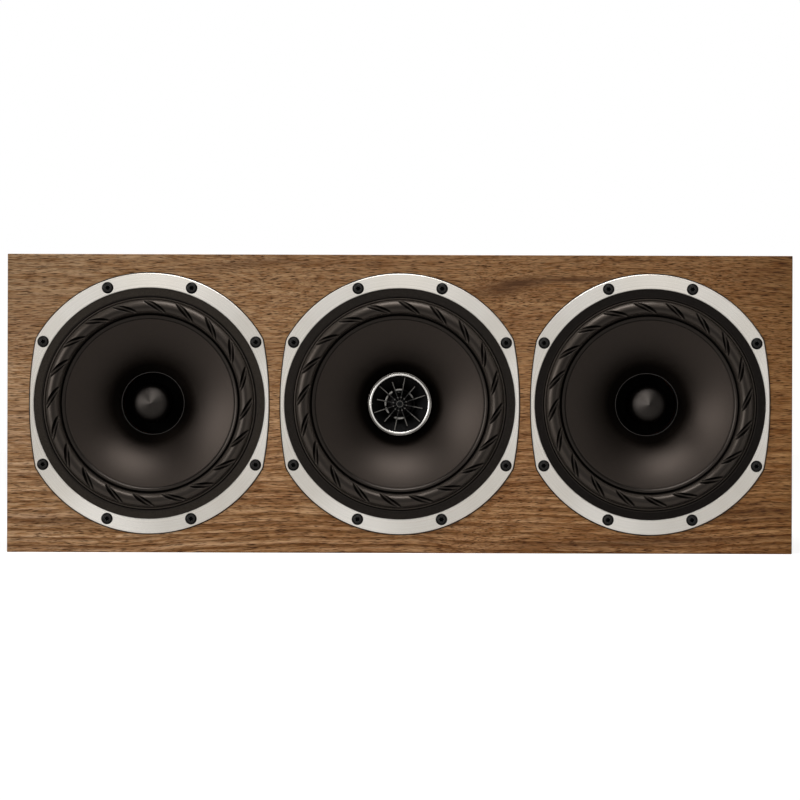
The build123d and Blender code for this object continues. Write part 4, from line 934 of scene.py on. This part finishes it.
floor_size = 12.0
floor_mesh = bpy.data.meshes.new("studio_floor")
half = floor_size / 2
corners = [(-half, -half, 0), (half, -half, 0), (half, half, 0), (-half, half, 0)]
floor_mesh.from_pydata(corners, [], [(0, 1, 2, 3)])
floor = bpy.data.objects.new("studio_floor", floor_mesh)
bpy.context.scene.collection.objects.link(floor)
paper, tree, shader = new_material("white_paper_roll", Roughness=0.9, Specular_IOR_Level=0.0)
rays = node(tree, "LightPath").outputs
mirrored = {0: rays["Is Glossy Ray"], 1: rays["Is Transmission Ray"]}
mirrored = node(tree, "Math", mirrored, operation="MAXIMUM").outputs[0]
mirrored = node(tree, "MapRange", {"Value": mirrored, "To Min": 0.0, "To Max": 0.13}).outputs[0]
seen = rays["Is Camera Ray"]
shade = node(tree, "MapRange", {"Value": seen, "To Min": 0.4, "To Max": 0.3}).outputs[0]
glow = node(tree, "MapRange", {"Value": seen, "To Min": mirrored, "To Max": 0.86}).outputs[0]
tree.links.new(shade, shader.inputs["Base Color"])
tree.links.new(glow, shader.inputs["Emission Strength"])
shader.inputs["Emission Color"].default_value = (1.0, 1.0, 1.0, 1.0)
floor_mesh.materials.append(paper)

world = bpy.data.worlds.new("white_room")
world.use_nodes = True
bpy.context.scene.world = world
room = world.node_tree
rays = node(room, "LightPath").outputs
aim = node(room, "TexCoord").outputs["Generated"]
ahead = node(room, "VectorMath", {0: aim, 1: (0, -1, 0)}, operation="DOT_PRODUCT").outputs["Value"]
facing = node(room, "Math", {0: ahead}, operation="ABSOLUTE").outputs[0]
span = {"From Min": 0.7, "From Max": 0.97, "To Min": 0.08, "To Max": 1.0}
walls = node(room, "MapRange", {"Value": facing} | span)
mirrored = {0: rays["Is Glossy Ray"], 1: rays["Is Transmission Ray"]}
mirrored = node(room, "Math", mirrored, operation="MAXIMUM").outputs[0]
lit = node(room, "MapRange", {"Value": mirrored, "To Min": 0.4, "To Max": walls.outputs[0]}).outputs[0]
strength = node(room, "MapRange", {"Value": rays["Is Camera Ray"], "To Min": lit, "To Max": 1.0}).outputs[0]
room.links.new(strength, room.nodes["Background"].inputs["Strength"])
room.nodes["Background"].inputs["Color"].default_value = (1.0, 1.0, 1.0, 1.0)

centre = (cad_low + cad_high) / 2
lamp("soft_key", (-2.3, -1.6, 0.55), (0, FRONT_Y, centre.z), 1.9, 58.0)
lamp("soft_top", (0.0, -0.37, 1.0), (0, FRONT_Y, centre.z), 0.65, 10.0)
lamp("soft_fill", (1.45, -1.05, 0.45), (0, FRONT_Y, centre.z), 1.0, 2.0)

CAMERA_DISTANCE = 3.3
PHOTO_WIDTH = 0.80183
AIM_HEIGHT = 0.1535
AIM_ACROSS = 0.0002
CAMERA_ROLL = -0.17
camera = bpy.data.cameras.new("long_lens")
camera.sensor_width = 36.0
camera.lens = camera.sensor_width * CAMERA_DISTANCE / PHOTO_WIDTH
view = bpy.data.objects.new("long_lens", camera)
bpy.context.scene.collection.objects.link(view)
view.location = (AIM_ACROSS, FRONT_Y - CAMERA_DISTANCE, AIM_HEIGHT)
view.rotation_euler = (math.pi / 2, math.radians(CAMERA_ROLL), 0)
bpy.context.scene.camera = view
bpy.context.scene.view_settings.view_transform = "Standard"
